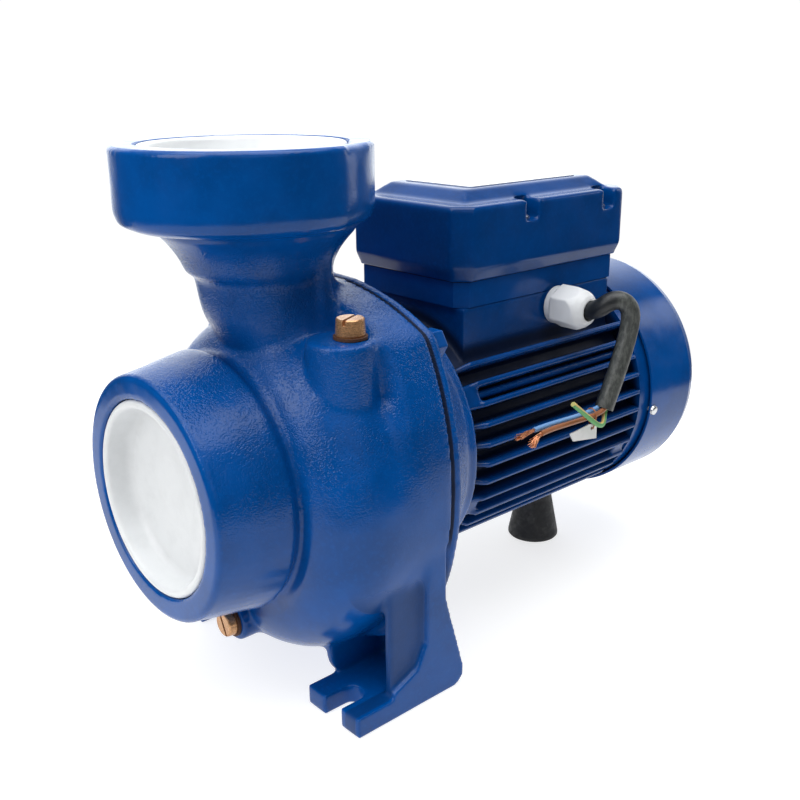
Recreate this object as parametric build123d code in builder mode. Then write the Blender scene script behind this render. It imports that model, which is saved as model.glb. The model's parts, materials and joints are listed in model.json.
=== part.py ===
from build123d import *
from math import cos, pi, radians, sin, tan
import os

# Centrifugal water pump, close-coupled: cast volute with 4 inch threaded ports, fan-cooled motor.
# Millimetres. X runs along the shaft from the suction port (-X) to the fan cover (+X), Z is up.
# The origin is on the floor, midway between the two foot bolts, under the discharge port's axis.

os.makedirs("parts", exist_ok=True)

# ---------------------------------------------------------------- driving dimensions
SHAFT_Z = 126.0                 # shaft centre height above the feet
PORT_R = 70.0                   # outside of both port collars
THREAD_R = 56.5                 # G4 female thread, taken at its major diameter
PORT_SHOULDER_R = 76.5          # the suction port grows slightly towards the volute
SUCTION_X = -73.0               # suction face
DISCHARGE_Z = 312.0             # discharge face
THREAD_DEPTH = 26.0
EYE_R = 40.3                    # suction eye that the impeller's neck turns in

RIM_FRONT_X = 24.0              # front of the casing's bolting rim
RIM_REAR_X = 52.0               # rear of the rim, where the gasket lies
GASKET_T = 1.0
BRACKET_X = RIM_REAR_X + GASKET_T
BRACKET_FLANGE_T = 8.0
GROOVE_W, GROOVE_DEPTH = 2.4, 3.0                # the shadow groove between the rim and the flange
SIDE_ARC_R = 179.0              # each side of the four-lobed rim is an arc this large
SIDE_REACH = 108.0              # the rim's half width across its sides
SPIGOT_R = 95.0
LOBE_BOLT_R = 110.0             # distance of the lobe bolts from the shaft
LOBE_ANGLES = (45, 135, 225, 315)

FRAME_X0 = 98.0                 # motor frame, from the bracket to the rear shield
FRAME_X1 = 264.0
FRAME_BORE_R = 65.0
FRAME_ROOT_R = 70.0
FIN_TIP_R = 82.0
FINS = 40
FIN_PITCH = 360.0 / FINS
FIN_T = 3.5
COVER_R = 84.0                  # fan cover
COVER_X0 = 274.0
COVER_X1 = 333.0
SHEET_T = 1.6

BOX_X0, BOX_X1 = 112.0, 276.0   # terminal box cover
BOX_HALF_Y = 54.0
SEAT_Z = 209.5                  # pad on the frame that the terminal box stands on
BASE_TOP_Z = 225.0
BOX_TOP_Z = 271.0
PANEL_TOP_Z = 278.5
BASE_X0, BASE_X1 = 117.0, 270.0
BASE_HALF_Y = 49.0

FOOT_OUT_Y = 104.4              # outer side of each foot
FOOT_IN_Y = 58.6
FOOT_FRONT_X = -15.0
FOOT_REAR_X = 67.0
FOOT_T = 12.0
SLOT_W = 14.0
SLOT_Y = 81.5
SLOT_END_X = 6.0

SHAFT_R = 10.0                  # shaft under the seal and in the rear bearing
ROTOR_R = 39.6
STATOR_BORE_R = 40.0
CORE_X0, CORE_X1 = 135.0, 225.0
FRONT_BEARING = {"x": 82.0, "width": 15.0, "bore": 12.5, "outer": 26.0, "balls": 9}
REAR_BEARING = {"x": 251.0, "width": 14.0, "bore": 10.0, "outer": 23.5, "balls": 8}
BALL_R = 3.97

PLUG_X, PLUG_Y, PLUG_SEAT_Z = 14.0, -70.0, 215.0      # priming plug, on top of its boss
DRAIN_X, DRAIN_Y, DRAIN_Z = -29.0, -5.0, 36.0         # drain plug, facing forward
PLUG_SHANK_R = 6.5
PLUG_GAP = 0.06

GLAND_X, GLAND_Z = 204.0, 199.5
GLAND_SEAT_Y = -BASE_HALF_Y - 2.0
GLAND_TIP_Y = -79.0
CABLE_R = 6.0
CORE_R = 1.6
FOOT_CONE_X = 250.0
EARTH_X, EARTH_Y = 136.0, -26.0

SHAFT = Axis((0, 0, SHAFT_Z), (1, 0, 0))


# ---------------------------------------------------------------- helpers
def turn(points, mode=Mode.ADD):
    """Turn an outline of (x, radius) points about the shaft, in the current part."""
    with BuildSketch(Plane.XZ) as outline:
        with BuildLine():
            Polyline(*[(x, SHAFT_Z + r) for x, r in points], close=True)
        make_face()
    revolve(outline.sketch, axis=SHAFT, mode=mode)


def ring(x0, x1, r_in, r_out, mode=Mode.ADD):
    """A plain ring about the shaft."""
    turn([(x0, r_in), (x1, r_in), (x1, r_out), (x0, r_out)], mode)


def turn_up(x, y, points, mode=Mode.ADD):
    """Turn an outline of (radius, z) points about a vertical axis through (x, y)."""
    with BuildSketch(Plane((x, y, 0), x_dir=(1, 0, 0), z_dir=(0, -1, 0))) as outline:
        with BuildLine():
            Polyline(*points, close=True)
        make_face()
    revolve(outline.sketch, axis=Axis((x, y, 0), (0, 0, 1)), mode=mode)


def turn_along(origin, direction, points, mode=Mode.ADD):
    """Turn an outline of (distance, radius) points about any axis."""
    start = Plane(origin, z_dir=direction)
    side = Plane(origin, x_dir=direction, z_dir=start.x_dir)
    with BuildSketch(side) as outline:
        with BuildLine():
            Polyline(*points, close=True)
        make_face()
    revolve(outline.sketch, axis=Axis(origin, direction), mode=mode)


def block(x0, x1, y0, y1, z0, z1, mode=Mode.ADD):
    """A box between two corners."""
    with Locations(((x0 + x1) / 2, (y0 + y1) / 2, (z0 + z1) / 2)):
        Box(x1 - x0, y1 - y0, z1 - z0, mode=mode)


def lobed_rim(x, inset=0.0):
    """The rim's outline at x: four large arcs that meet in rounded lobes at 45 degrees."""
    back = SIDE_ARC_R - SIDE_REACH
    centres = ((0, SHAFT_Z - back), (0, SHAFT_Z + back), (-back, SHAFT_Z), (back, SHAFT_Z))
    with BuildSketch(Plane.YZ.offset(x)) as outline:
        with Locations(centres[0]):
            Circle(SIDE_ARC_R - inset)
        for centre in centres[1:]:
            with Locations(centre):
                Circle(SIDE_ARC_R - inset, mode=Mode.INTERSECT)
        fillet(outline.vertices(), 12)
    return outline.sketch


def side_plate(side, outline, inner, outer):
    """An upright plate with an (x, z) outline, between two distances from the middle plane."""
    with BuildSketch(Plane.XZ.offset(-side * inner)) as plate:
        with BuildLine():
            Polyline(*outline, close=True)
        make_face()
    extrude(plate.sketch, amount=-side * (outer - inner))


def on_circle(radius, angle):
    """A (y, z) place on a circle about the shaft; 0 degrees is +Y, 90 degrees is up."""
    return radius * cos(radians(angle)), SHAFT_Z + radius * sin(radians(angle))


def tube(points, radius, tight=None):
    """A round tube whose corners are arcs as large as the runs beside them allow."""
    runs = [Vector(*b) - Vector(*a) for a, b in zip(points, points[1:])]
    radii = []
    for before, after in zip(runs, runs[1:]):
        half_turn = radians(before.get_angle(after)) / 2
        radii.append(0.45 * min(before.length, after.length) / tan(half_turn))
    with BuildPart() as hose:
        with BuildLine():
            route = FilletPolyline(*points, radius=radii)
        with BuildSketch(Plane(points[0], z_dir=runs[0])):
            Circle(radius)
        sweep(path=route)
    share = hose.part.volume / (pi * radius ** 2 * route.length)
    print(f"tube: length {route.length:.1f}, volume share {share:.3f}, radii", [round(r, 1) for r in radii])
    return hose.part


def save(name, part):
    """Label a finished piece and write its STEP."""
    part.label = name
    export_step(part, f"parts/{name}.step")


# ---------------------------------------------------------------- volute casing
LEG_SHEET = ((12, 2), (52, 2), (52, 100), (30, 100), (12, 74))    # the leg's recessed outer wall, (x, z)
LEG_STRIP = ((37, 0), (61, 0), (66, 4), (FOOT_REAR_X, 10), (RIM_REAR_X, 62), (RIM_REAR_X, 90), (37, 90))
LEG_HEEL = ((12, 6), (37, 6), (37, 38), (30, 24), (12, 16))
LEG_WEB = ((8, 4), (46, 4), (46, 64), (0, 64), (0, 30), (1.5, 20), (4, 15), (8, 12))
NECK = (                        # the discharge neck, from the collar down: z, x, y, radius
    (264.0, 5.0, -1.0, 39.0),
    (250.0, 7.0, -2.0, 39.5),
    (238.0, 8.5, -2.0, 38.5),
    (222.0, 11.0, -3.0, 39.0),
    (208.0, 16.0, -6.0, 38.0),
    (196.0, 21.0, -11.0, 40.0),
)
NECK_WALL = 8.0
SPIRAL_Y, SPIRAL_Z = -5.0, SHAFT_Z - 9.0       # the spiral body's own centre
SPIRAL = Axis((0, SPIRAL_Y, SPIRAL_Z), (1, 0, 0))

with BuildPart() as passage:      # the water way down the neck
    for z, x, y, radius in ((268.0, 1.0, 0.0, 33.0),) + NECK[1:]:
        with BuildSketch(Plane.XY.offset(z)):
            with Locations((x, y)):
                Circle(min(radius, 36.0) - NECK_WALL)
    loft()

with BuildPart() as volute_casing:
    # suction port with its shoulder and the groove behind it
    turn([(SUCTION_X, 0), (SUCTION_X, PORT_R - 2), (SUCTION_X + 2, PORT_R), (-31, PORT_SHOULDER_R),
          (-27, PORT_SHOULDER_R - 3), (-18, 73), (-18, 0)])
    # spiral body, a dome turned about its own centre
    with BuildSketch(Plane((0, SPIRAL_Y, 0), x_dir=(1, 0, 0), z_dir=(0, -1, 0))) as dome:
        with BuildLine():
            crown = ThreePointArc((-24, SPIRAL_Z + 74), (-12, SPIRAL_Z + 94), (14, SPIRAL_Z + 103))
            Polyline(crown @ 1, (30, SPIRAL_Z + 103), (30, SPIRAL_Z), (-24, SPIRAL_Z), crown @ 0)
        make_face()
    revolve(axis=SPIRAL)
    extrude(lobed_rim(RIM_FRONT_X), RIM_REAR_X - RIM_FRONT_X)
    # discharge collar and neck
    turn_up(0, 0, [(0, 262), (39, 262), (43, 267), (50, 269), (62, 269), (68, 272), (PORT_R, 278),
                   (PORT_R, DISCHARGE_Z - 2), (PORT_R - 2, DISCHARGE_Z), (0, DISCHARGE_Z)])
    for z, x, y, radius in NECK:
        with BuildSketch(Plane.XY.offset(z)):
            with Locations((x, y)):
                Circle(radius)
    loft()
    # the neck flares out under the collar, from a lip
    turn_up(5, -2, [(0, 241), (39, 242.5), (41, 244.5), (42.5, 249), (45.5, 255), (50, 261), (55, 266), (55, 270),
                    (0, 270)])
    # gusset between the collar and the rim
    with BuildSketch(Plane.XY.offset(206)):
        with Locations((18, -30)):
            SlotOverall(32, 11, rotation=-76)
    extrude(amount=59)
    # priming boss and drain boss
    turn_up(PLUG_X - 3.4, PLUG_Y + 3, [(0, 150), (20, 160), (20, PLUG_SEAT_Z - 1), (19, PLUG_SEAT_Z),
                                       (0, PLUG_SEAT_Z)])
    turn_along((DRAIN_X, DRAIN_Y, DRAIN_Z), (1, 0, 0), [(0, 0), (0, 11.5), (1, 12.5), (30, 12.5), (30, 0)])
    # two feet with their hollow legs
    for side in (-1, 1):
        block(FOOT_FRONT_X, FOOT_REAR_X - 6, *sorted((side * FOOT_IN_Y, side * FOOT_OUT_Y)), 0, FOOT_T)
        side_plate(side, LEG_SHEET, FOOT_OUT_Y - 9, FOOT_OUT_Y - 4)
        side_plate(side, LEG_STRIP, FOOT_OUT_Y - 16, FOOT_OUT_Y)
        side_plate(side, LEG_HEEL, FOOT_OUT_Y - 9, FOOT_OUT_Y)
        block(40, 50, *sorted((side * 56, side * FOOT_OUT_Y)), 4, 76)
        side_plate(side, LEG_WEB, 56, 62)
    # room for the bracket's flange between the legs; the neck stops at the rim's rear face
    extrude(lobed_rim(RIM_REAR_X, -0.3), 14, mode=Mode.SUBTRACT)
    block(RIM_REAR_X, 80, -60, 60, 180, 262, Mode.SUBTRACT)
    # water ways: suction thread and eye, volute chamber, discharge passage and thread
    turn([(SUCTION_X, 0), (SUCTION_X, THREAD_R), (SUCTION_X + THREAD_DEPTH, THREAD_R),
          (SUCTION_X + THREAD_DEPTH, 52), (-20, EYE_R), (-3, EYE_R), (-3, 79), (4, 83),
          (30, 87), (43, SPIGOT_R), (RIM_REAR_X, SPIGOT_R), (RIM_REAR_X, 0)], Mode.SUBTRACT)
    turn_up(0, 0, [(0, 262), (34, 266), (50, 284), (50, DISCHARGE_Z - THREAD_DEPTH),
                   (THREAD_R, DISCHARGE_Z - THREAD_DEPTH), (THREAD_R, DISCHARGE_Z), (0, DISCHARGE_Z)],
            Mode.SUBTRACT)
    add(passage.part, mode=Mode.SUBTRACT)
    # foot slots, plug holes, lobe bolt holes
    for side in (-1, 1):
        block(FOOT_FRONT_X - 1, SLOT_END_X - SLOT_W / 2, side * SLOT_Y - SLOT_W / 2,
              side * SLOT_Y + SLOT_W / 2, -1, FOOT_T + 1, Mode.SUBTRACT)
        with Locations((SLOT_END_X - SLOT_W / 2, side * SLOT_Y, FOOT_T / 2)):
            Cylinder(SLOT_W / 2, FOOT_T + 2, mode=Mode.SUBTRACT)
    turn_up(PLUG_X, PLUG_Y, [(0, 176), (PLUG_SHANK_R + PLUG_GAP, 176),
                             (PLUG_SHANK_R + PLUG_GAP, PLUG_SEAT_Z), (0, PLUG_SEAT_Z)], Mode.SUBTRACT)
    turn_along((DRAIN_X, DRAIN_Y, DRAIN_Z), (1, 0, 0),
               [(0, 0), (0, PLUG_SHANK_R + PLUG_GAP), (44, PLUG_SHANK_R + PLUG_GAP), (44, 0)], Mode.SUBTRACT)
    for angle in LOBE_ANGLES:
        y, z = on_circle(LOBE_BOLT_R, angle)
        turn_along((34, y, z), (1, 0, 0), [(0, 0), (0, 5), (20, 5), (20, 0)], Mode.SUBTRACT)
save("volute_casing", volute_casing.part)

# ---------------------------------------------------------------- caps and plugs
CAP_R = THREAD_R - 0.3
CAP_SHELL = (                   # distance from the mouth, radius: rim, wall and floor of a dished cap
    (0.5, 50.5), (0.5, CAP_R), (20, CAP_R), (20, 0), (16.5, 0), (16.5, 50.5),
)
WASHER_T = 1.5
HEAD_T, DRAIN_HEAD_T = 11.0, 7.0
PLUG_SHANK = 14.0


def brass_plug(origin, direction, head):
    """A slotted plug: direction points out of the hole, origin is on the boss's face."""
    turn_along(origin, direction, [(-PLUG_SHANK, 0), (-PLUG_SHANK, PLUG_SHANK_R - 1),
                                   (1 - PLUG_SHANK, PLUG_SHANK_R), (WASHER_T, PLUG_SHANK_R),
                                   (WASHER_T, 7.6), (WASHER_T + 1, 8.0), (head - 0.6, 7.6),
                                   (head, 7.0), (head, 0)])
    with BuildSketch(Plane(origin, z_dir=direction).offset(head - 3)) as slot:
        Rectangle(20, 1.8, rotation=25)
    extrude(slot.sketch, amount=4, mode=Mode.SUBTRACT)


def sealing_washer(origin, direction):
    """The ring under a plug's head."""
    inner = PLUG_SHANK_R + PLUG_GAP
    turn_along(origin, direction, [(0, inner), (WASHER_T, inner), (WASHER_T, 9.2), (0, 9.2)])


with BuildPart() as suction_thread_cap:
    turn_along((SUCTION_X, 0, SHAFT_Z), (1, 0, 0), CAP_SHELL)
save("suction_thread_cap", suction_thread_cap.part)

with BuildPart() as discharge_thread_cap:
    turn_along((0, 0, DISCHARGE_Z), (0, 0, -1), CAP_SHELL)
save("discharge_thread_cap", discharge_thread_cap.part)

with BuildPart() as prime_plug:
    brass_plug((PLUG_X, PLUG_Y, PLUG_SEAT_Z), (0, 0, 1), HEAD_T)
save("prime_plug", prime_plug.part)

with BuildPart() as prime_plug_washer:
    sealing_washer((PLUG_X, PLUG_Y, PLUG_SEAT_Z), (0, 0, 1))
save("prime_plug_washer", prime_plug_washer.part)

with BuildPart() as drain_plug:
    brass_plug((DRAIN_X, DRAIN_Y, DRAIN_Z), (-1, 0, 0), DRAIN_HEAD_T)
save("drain_plug", drain_plug.part)

with BuildPart() as drain_plug_washer:
    sealing_washer((DRAIN_X, DRAIN_Y, DRAIN_Z), (-1, 0, 0))
save("drain_plug_washer", drain_plug_washer.part)

# ---------------------------------------------------------------- shaft, impeller and seal
STUB_R = 8.0                    # shaft end that carries the impeller
HUB_X = 38.0                    # rear of the impeller hub, against the shaft's shoulder
IMPELLER_R = 78.0
KEY_W = 5.0
VANE = ((36, 0), (56, -38), (76, -60))          # radius and angle along one vane
VANES = 5
SEAL_SEAT_X = 54.0

with BuildPart() as shaft:
    turn([(4, 0), (4, STUB_R - 1), (5, STUB_R), (HUB_X, STUB_R), (HUB_X, SHAFT_R), (80, SHAFT_R),
          (80, FRONT_BEARING["bore"]), (100, FRONT_BEARING["bore"]), (100, 14), (238, 14), (238, 12),
          (250, 12), (250, SHAFT_R), (266, SHAFT_R), (266, 7.5), (311, 7.5), (312, 6.5), (312, 0)])
    block(20, 36, -KEY_W / 2, KEY_W / 2, SHAFT_Z + 5.5, SHAFT_Z + 9, Mode.SUBTRACT)
save("shaft", shaft.part)

with BuildPart() as impeller:
    # vanes first, trimmed to the slope of the front shroud
    with BuildSketch(Plane.YZ.offset(1)):
        for vane in range(VANES):
            with BuildLine():
                ThreePointArc(*[on_circle(r, vane * 360 / VANES + turn_by) for r, turn_by in VANE])
            trace(line_width=3)
    extrude(amount=30)
    turn([(0, 20), (0, 90), (15, 90), (15, IMPELLER_R), (3, 43), (2, 20)], Mode.SUBTRACT)
    ring(-1, 40, IMPELLER_R, 90, Mode.SUBTRACT)
    # neck ring with the front shroud, then the back shroud with the hub
    turn([(-16, 34), (-16, 40), (-1, 40), (2, 44), (14, IMPELLER_R), (17, IMPELLER_R), (5, 42), (1, 34)])
    turn([(30, 16), (30, IMPELLER_R), (33, IMPELLER_R), (34, 18), (HUB_X, 16), (HUB_X, STUB_R),
          (18, STUB_R), (18, 15), (26, 17)])
    block(17, HUB_X + 1, -KEY_W / 2, KEY_W / 2, SHAFT_Z, SHAFT_Z + 10.5, Mode.SUBTRACT)
save("impeller", impeller.part)

with BuildPart() as impeller_key:
    block(20, 36, -KEY_W / 2, KEY_W / 2, SHAFT_Z + 5.5, SHAFT_Z + 10.5)
save("impeller_key", impeller_key.part)

with BuildPart() as impeller_washer:
    ring(16, 18, STUB_R, 15)
save("impeller_washer", impeller_washer.part)

with BuildPart() as impeller_nut:
    with BuildSketch(Plane.YZ.offset(6)):
        with Locations((0, SHAFT_Z)):
            RegularPolygon(13.8, 6)
            Circle(STUB_R, mode=Mode.SUBTRACT)
    extrude(amount=10)
save("impeller_nut", impeller_nut.part)

with BuildPart() as seal_seat:
    ring(SEAL_SEAT_X, SEAL_SEAT_X + 7, 11, 20)
save("seal_seat", seal_seat.part)

with BuildPart() as seal_rotating_face:
    ring(SEAL_SEAT_X - 5, SEAL_SEAT_X - 0.1, 10.6, 16.5)
save("seal_rotating_face", seal_rotating_face.part)

with BuildPart() as seal_bellows:
    turn([(HUB_X + 1, SHAFT_R), (HUB_X + 1, 14), (42, 12.5), (44, 14), (46, 12.5), (SEAL_SEAT_X - 5, 14),
          (SEAL_SEAT_X - 5, SHAFT_R)])
save("seal_bellows", seal_bellows.part)

with BuildPart() as seal_spring:
    with BuildLine() as coil:
        Helix(3.0, 9.0, 17, center=(HUB_X + 1.3, 0, SHAFT_Z), direction=(1, 0, 0))
    with BuildSketch(Plane(coil.line @ 0, z_dir=coil.line % 0)):
        Circle(0.8)
    sweep(path=coil.line, is_frenet=True)
save("seal_spring", seal_spring.part)

with BuildPart() as water_slinger:
    turn([(69, SHAFT_R), (69, 13), (70, 20), (72, 20), (73, 13), (73, SHAFT_R)])
save("water_slinger", water_slinger.part)

# ---------------------------------------------------------------- gasket and motor bracket
BELL_R0, BELL_R1 = 98.0, 84.0   # the bell behind the flange narrows to the motor frame
BOLT_HEAD_X = BRACKET_X + BRACKET_FLANGE_T
TIE_BOLT_R = 73.5
TIE_ANGLES = (27, 153, 207, 333)                 # each midway between two fins

with BuildPart() as casing_gasket:
    extrude(lobed_rim(RIM_REAR_X, GROOVE_DEPTH + 0.2), GASKET_T)
    ring(RIM_REAR_X - 1, BRACKET_X + 1, 0, SPIGOT_R, Mode.SUBTRACT)
    for angle in LOBE_ANGLES:
        y, z = on_circle(LOBE_BOLT_R, angle)
        turn_along((RIM_REAR_X - 1, y, z), (1, 0, 0), [(0, 0), (0, 5.3), (3, 5.3), (3, 0)], Mode.SUBTRACT)
save("casing_gasket", casing_gasket.part)

with BuildPart() as motor_bracket:
    extrude(lobed_rim(BRACKET_X, GROOVE_DEPTH), GROOVE_W)
    extrude(lobed_rim(BRACKET_X + GROOVE_W), BRACKET_FLANGE_T - GROOVE_W)
    turn([(45, 0), (45, SPIGOT_R - 0.1), (BOLT_HEAD_X, SPIGOT_R - 0.1), (BOLT_HEAD_X, BELL_R0), (90, BELL_R1),
          (FRAME_X0, BELL_R1), (FRAME_X0, FRAME_BORE_R), (102, FRAME_BORE_R), (102, 30), (FRAME_X0, 30),
          (FRAME_X0, 0)])
    # bolt bosses behind the lobes
    for angle in LOBE_ANGLES:
        y, z = on_circle(LOBE_BOLT_R - 3, angle)
        turn_along((BRACKET_X + GROOVE_W, y, z), (1, 0, 0),
                   [(0, 0), (0, 11), (BRACKET_FLANGE_T - GROOVE_W, 11), (BRACKET_FLANGE_T - GROOVE_W, 0)])
    # seal recess, seat bore, shaft hole, inner chamber, bearing bore
    ring(44, SEAL_SEAT_X, 0, 28, Mode.SUBTRACT)
    ring(SEAL_SEAT_X - 1, SEAL_SEAT_X + 7, 0, 20, Mode.SUBTRACT)
    ring(60, 67, 0, 12.5, Mode.SUBTRACT)
    turn([(66, 0), (66, 84), (72, 88), (84, 76), (84, 40), (78, 30), (78, 0)], Mode.SUBTRACT)
    ring(77, 83, 0, 21, Mode.SUBTRACT)
    ring(FRONT_BEARING["x"], 103, 0, FRONT_BEARING["outer"], Mode.SUBTRACT)
    # weep opening at the bottom of the chamber
    block(68, 78, -8, 8, 24, 56, Mode.SUBTRACT)
    for angle in LOBE_ANGLES:
        y, z = on_circle(LOBE_BOLT_R, angle)
        turn_along((BRACKET_X - 1, y, z), (1, 0, 0), [(0, 0), (0, 5.3), (20, 5.3), (20, 0)], Mode.SUBTRACT)
    for angle in TIE_ANGLES:
        y, z = on_circle(TIE_BOLT_R, angle)
        turn_along((86, y, z), (1, 0, 0), [(0, 0), (0, 2.5), (20, 2.5), (20, 0)], Mode.SUBTRACT)
save("motor_bracket", motor_bracket.part)

with BuildPart() as bracket_bolts:
    for angle in LOBE_ANGLES:
        y, z = on_circle(LOBE_BOLT_R, angle)
        turn_along((36, y, z), (1, 0, 0), [(0, 0), (0, 5), (BOLT_HEAD_X - 36, 5), (BOLT_HEAD_X - 36, 0)])
        with BuildSketch(Plane.YZ.offset(BOLT_HEAD_X)):
            with Locations((y, z)):
                RegularPolygon(9.3, 6)
    extrude(amount=8)
save("bracket_bolts", bracket_bolts.part)

# ---------------------------------------------------------------- motor frame and rear shield
PEDESTAL_X1 = 262.0
FIN_GAP = (43.0, 137.0)         # no fins under the terminal box pad
WINDOW_X = (226.0, 238.0)
SHIELD_RIM_R = 80.5
REAR_WEB_X = 270.0
COVER_SCREW_X = 277.0
COVER_SCREW_ANGLES = (6.5, 96.5, 186.5, 276.5)
LUG_L = 14.0                    # tie bolt lugs at both ends of the frame

with BuildPart() as motor_frame:
    with BuildSketch(Plane.YZ.offset(FRAME_X0)):
        with Locations((0, SHAFT_Z)):
            Circle(FRAME_ROOT_R)
        for fin in range(FINS):
            angle = (fin + 0.5) * FIN_PITCH
            if not FIN_GAP[0] < angle < FIN_GAP[1]:
                middle = (FRAME_ROOT_R - 3 + FIN_TIP_R) / 2
                with Locations(on_circle(middle, angle)):
                    Rectangle(FIN_TIP_R - FRAME_ROOT_R + 3, FIN_T, rotation=angle)
    extrude(amount=FRAME_X1 - FRAME_X0)
    # fins slope up from the bracket and end short of the rear shield
    turn([(FRAME_X0 - 1, FRAME_ROOT_R + 2), (FRAME_X0 - 1, 90), (FRAME_X0 + 13, 90), (FRAME_X0 + 13, FIN_TIP_R)],
         Mode.SUBTRACT)
    # pad for the terminal box, with its wiring pocket and the gland boss
    block(BASE_X0 + 2, PEDESTAL_X1, -BASE_HALF_Y, BASE_HALF_Y, 150, SEAT_Z)
    turn_along((GLAND_X, -36, GLAND_Z), (0, -1, 0),
               [(0, 0), (0, 10), (-GLAND_SEAT_Y - 36, 10), (-GLAND_SEAT_Y - 36, 0)])
    block(150, 240, -38, 38, 150, SEAT_Z + 1, Mode.SUBTRACT)
    ring(FRAME_X0, FRAME_X1, 0, FRAME_ROOT_R)
    for x0 in (FRAME_X0, FRAME_X1 - LUG_L):
        with BuildSketch(Plane.YZ.offset(x0)):
            for angle in TIE_ANGLES:
                with Locations(on_circle(TIE_BOLT_R, angle)):
                    Rectangle(12, 15, rotation=angle)
        extrude(amount=LUG_L)
    for angle in TIE_ANGLES:
        y, z = on_circle(TIE_BOLT_R, angle)
        turn_along((FRAME_X0 - 1, y, z), (1, 0, 0), [(0, 0), (0, 2.6), (170, 2.6), (170, 0)], Mode.SUBTRACT)
    block(*WINDOW_X, -14, 14, 150, SEAT_Z + 1, Mode.SUBTRACT)
    # lug over the rubber foot
    turn_up(FOOT_CONE_X, 0, [(0, 44), (13, 44), (13, 62), (0, 62)])
    ring(FRAME_X0 - 1, FRAME_X1 + 1, 0, FRAME_BORE_R, Mode.SUBTRACT)
    turn_up(FOOT_CONE_X, 0, [(0, 43), (3, 43), (3, 60), (0, 60)], Mode.SUBTRACT)
    turn_along((GLAND_X, -30, GLAND_Z), (0, -1, 0), [(0, 0), (0, 8.6), (25, 8.6), (25, 0)], Mode.SUBTRACT)
    turn_up(EARTH_X, EARTH_Y, [(0, 203), (2, 203), (2, SEAT_Z + 1), (0, SEAT_Z + 1)], Mode.SUBTRACT)
save("motor_frame", motor_frame.part)

with BuildPart() as rear_end_shield:
    turn([(249, REAR_BEARING["outer"]), (249, 31), (FRAME_X1, 31), (FRAME_X1, 60), (259, 60),
          (259, FRAME_BORE_R), (FRAME_X1, FRAME_BORE_R), (FRAME_X1, SHIELD_RIM_R), (281, SHIELD_RIM_R),
          (281, 78.2), (REAR_WEB_X, 78.2), (REAR_WEB_X, 12), (267, 12), (267, REAR_BEARING["outer"])])
    for angle in TIE_ANGLES:
        y, z = on_circle(TIE_BOLT_R, angle)
        turn_along((FRAME_X1 - 1, y, z), (1, 0, 0), [(0, 0), (0, 2.7), (8, 2.7), (8, 0)], Mode.SUBTRACT)
    for angle in COVER_SCREW_ANGLES:
        y, z = on_circle(1, angle)
        turn_along((COVER_SCREW_X, 0, SHAFT_Z), (0, y, z - SHAFT_Z), [(76, 0), (76, 1.8), (82, 1.8), (82, 0)],
                   Mode.SUBTRACT)
save("rear_end_shield", rear_end_shield.part)

with BuildPart() as tie_bolts:
    for angle in TIE_ANGLES:
        y, z = on_circle(TIE_BOLT_R, angle)
        turn_along((88, y, z), (1, 0, 0), [(0, 0), (0, 2.5), (REAR_WEB_X - 88, 2.5), (REAR_WEB_X - 88, 4.3),
                                           (REAR_WEB_X - 84, 4.3), (REAR_WEB_X - 84, 0)])
save("tie_bolts", tie_bolts.part)

with BuildPart() as wave_spring:
    ring(265.1, 266.9, 19, 23)
save("wave_spring", wave_spring.part)

# ---------------------------------------------------------------- stator and rotor
SLOTS = 24
SLOT_IN_R, SLOT_OUT_R, SLOT_T = 44.0, 60.0, 5.0

with BuildPart() as stator_core:
    with BuildSketch(Plane.YZ.offset(CORE_X0)):
        with Locations((0, SHAFT_Z)):
            Circle(FRAME_BORE_R)
            Circle(STATOR_BORE_R, mode=Mode.SUBTRACT)
        for slot in range(SLOTS):
            angle = slot * 360 / SLOTS
            with Locations(on_circle((SLOT_IN_R + SLOT_OUT_R) / 2, angle)):
                Rectangle(SLOT_OUT_R - SLOT_IN_R, SLOT_T, rotation=angle, mode=Mode.SUBTRACT)
            with Locations(on_circle(SLOT_IN_R - 2, angle)):
                Rectangle(8, 2, rotation=angle, mode=Mode.SUBTRACT)
    extrude(amount=CORE_X1 - CORE_X0)
save("stator_core", stator_core.part)

with BuildPart() as stator_windings:
    with BuildSketch(Plane.YZ.offset(CORE_X0 - 2)):
        for slot in range(SLOTS):
            angle = slot * 360 / SLOTS
            with Locations(on_circle((SLOT_IN_R + SLOT_OUT_R) / 2, angle)):
                Rectangle(SLOT_OUT_R - SLOT_IN_R - 0.8, SLOT_T - 0.6, rotation=angle)
    extrude(amount=CORE_X1 - CORE_X0 + 4)
    for x0, x1 in ((CORE_X0 - 20, CORE_X0 - 1), (CORE_X1 + 1, CORE_X1 + 20)):
        turn([(x0, 48), (x0, 56), (x0 + 4, 61), (x1 - 4, 61), (x1, 59), (x1, 45), (x1 - 4, 43.5), (x0 + 4, 44)])
save("stator_windings", stator_windings.part)

with BuildPart() as rotor_core:
    ring(CORE_X0, CORE_X1, 14, ROTOR_R)
save("rotor_core", rotor_core.part)

with BuildPart() as rotor_end_rings:
    ring(CORE_X0 - 8, CORE_X0, 24, 37)
    ring(CORE_X1, CORE_X1 + 8, 24, 37)
    for x0 in (CORE_X0 - 16, CORE_X1 + 8):
        for blade in range(8):
            with Locations((x0 + 4, *on_circle(31, blade * 45))):
                Box(8, 9, 2, rotation=(blade * 45, 0, 0))
save("rotor_end_rings", rotor_end_rings.part)

# ---------------------------------------------------------------- bearings
def race_groove(bearing):
    """The ball track, cut out of a ring: a torus a little fatter than the balls."""
    pitch_r = (bearing["bore"] + bearing["outer"]) / 2
    middle = bearing["x"] + bearing["width"] / 2
    with BuildSketch(Plane.XZ) as track:
        with Locations((middle, SHAFT_Z + pitch_r)):
            Circle(BALL_R + 0.04)
    revolve(track.sketch, axis=SHAFT, mode=Mode.SUBTRACT)


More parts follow.
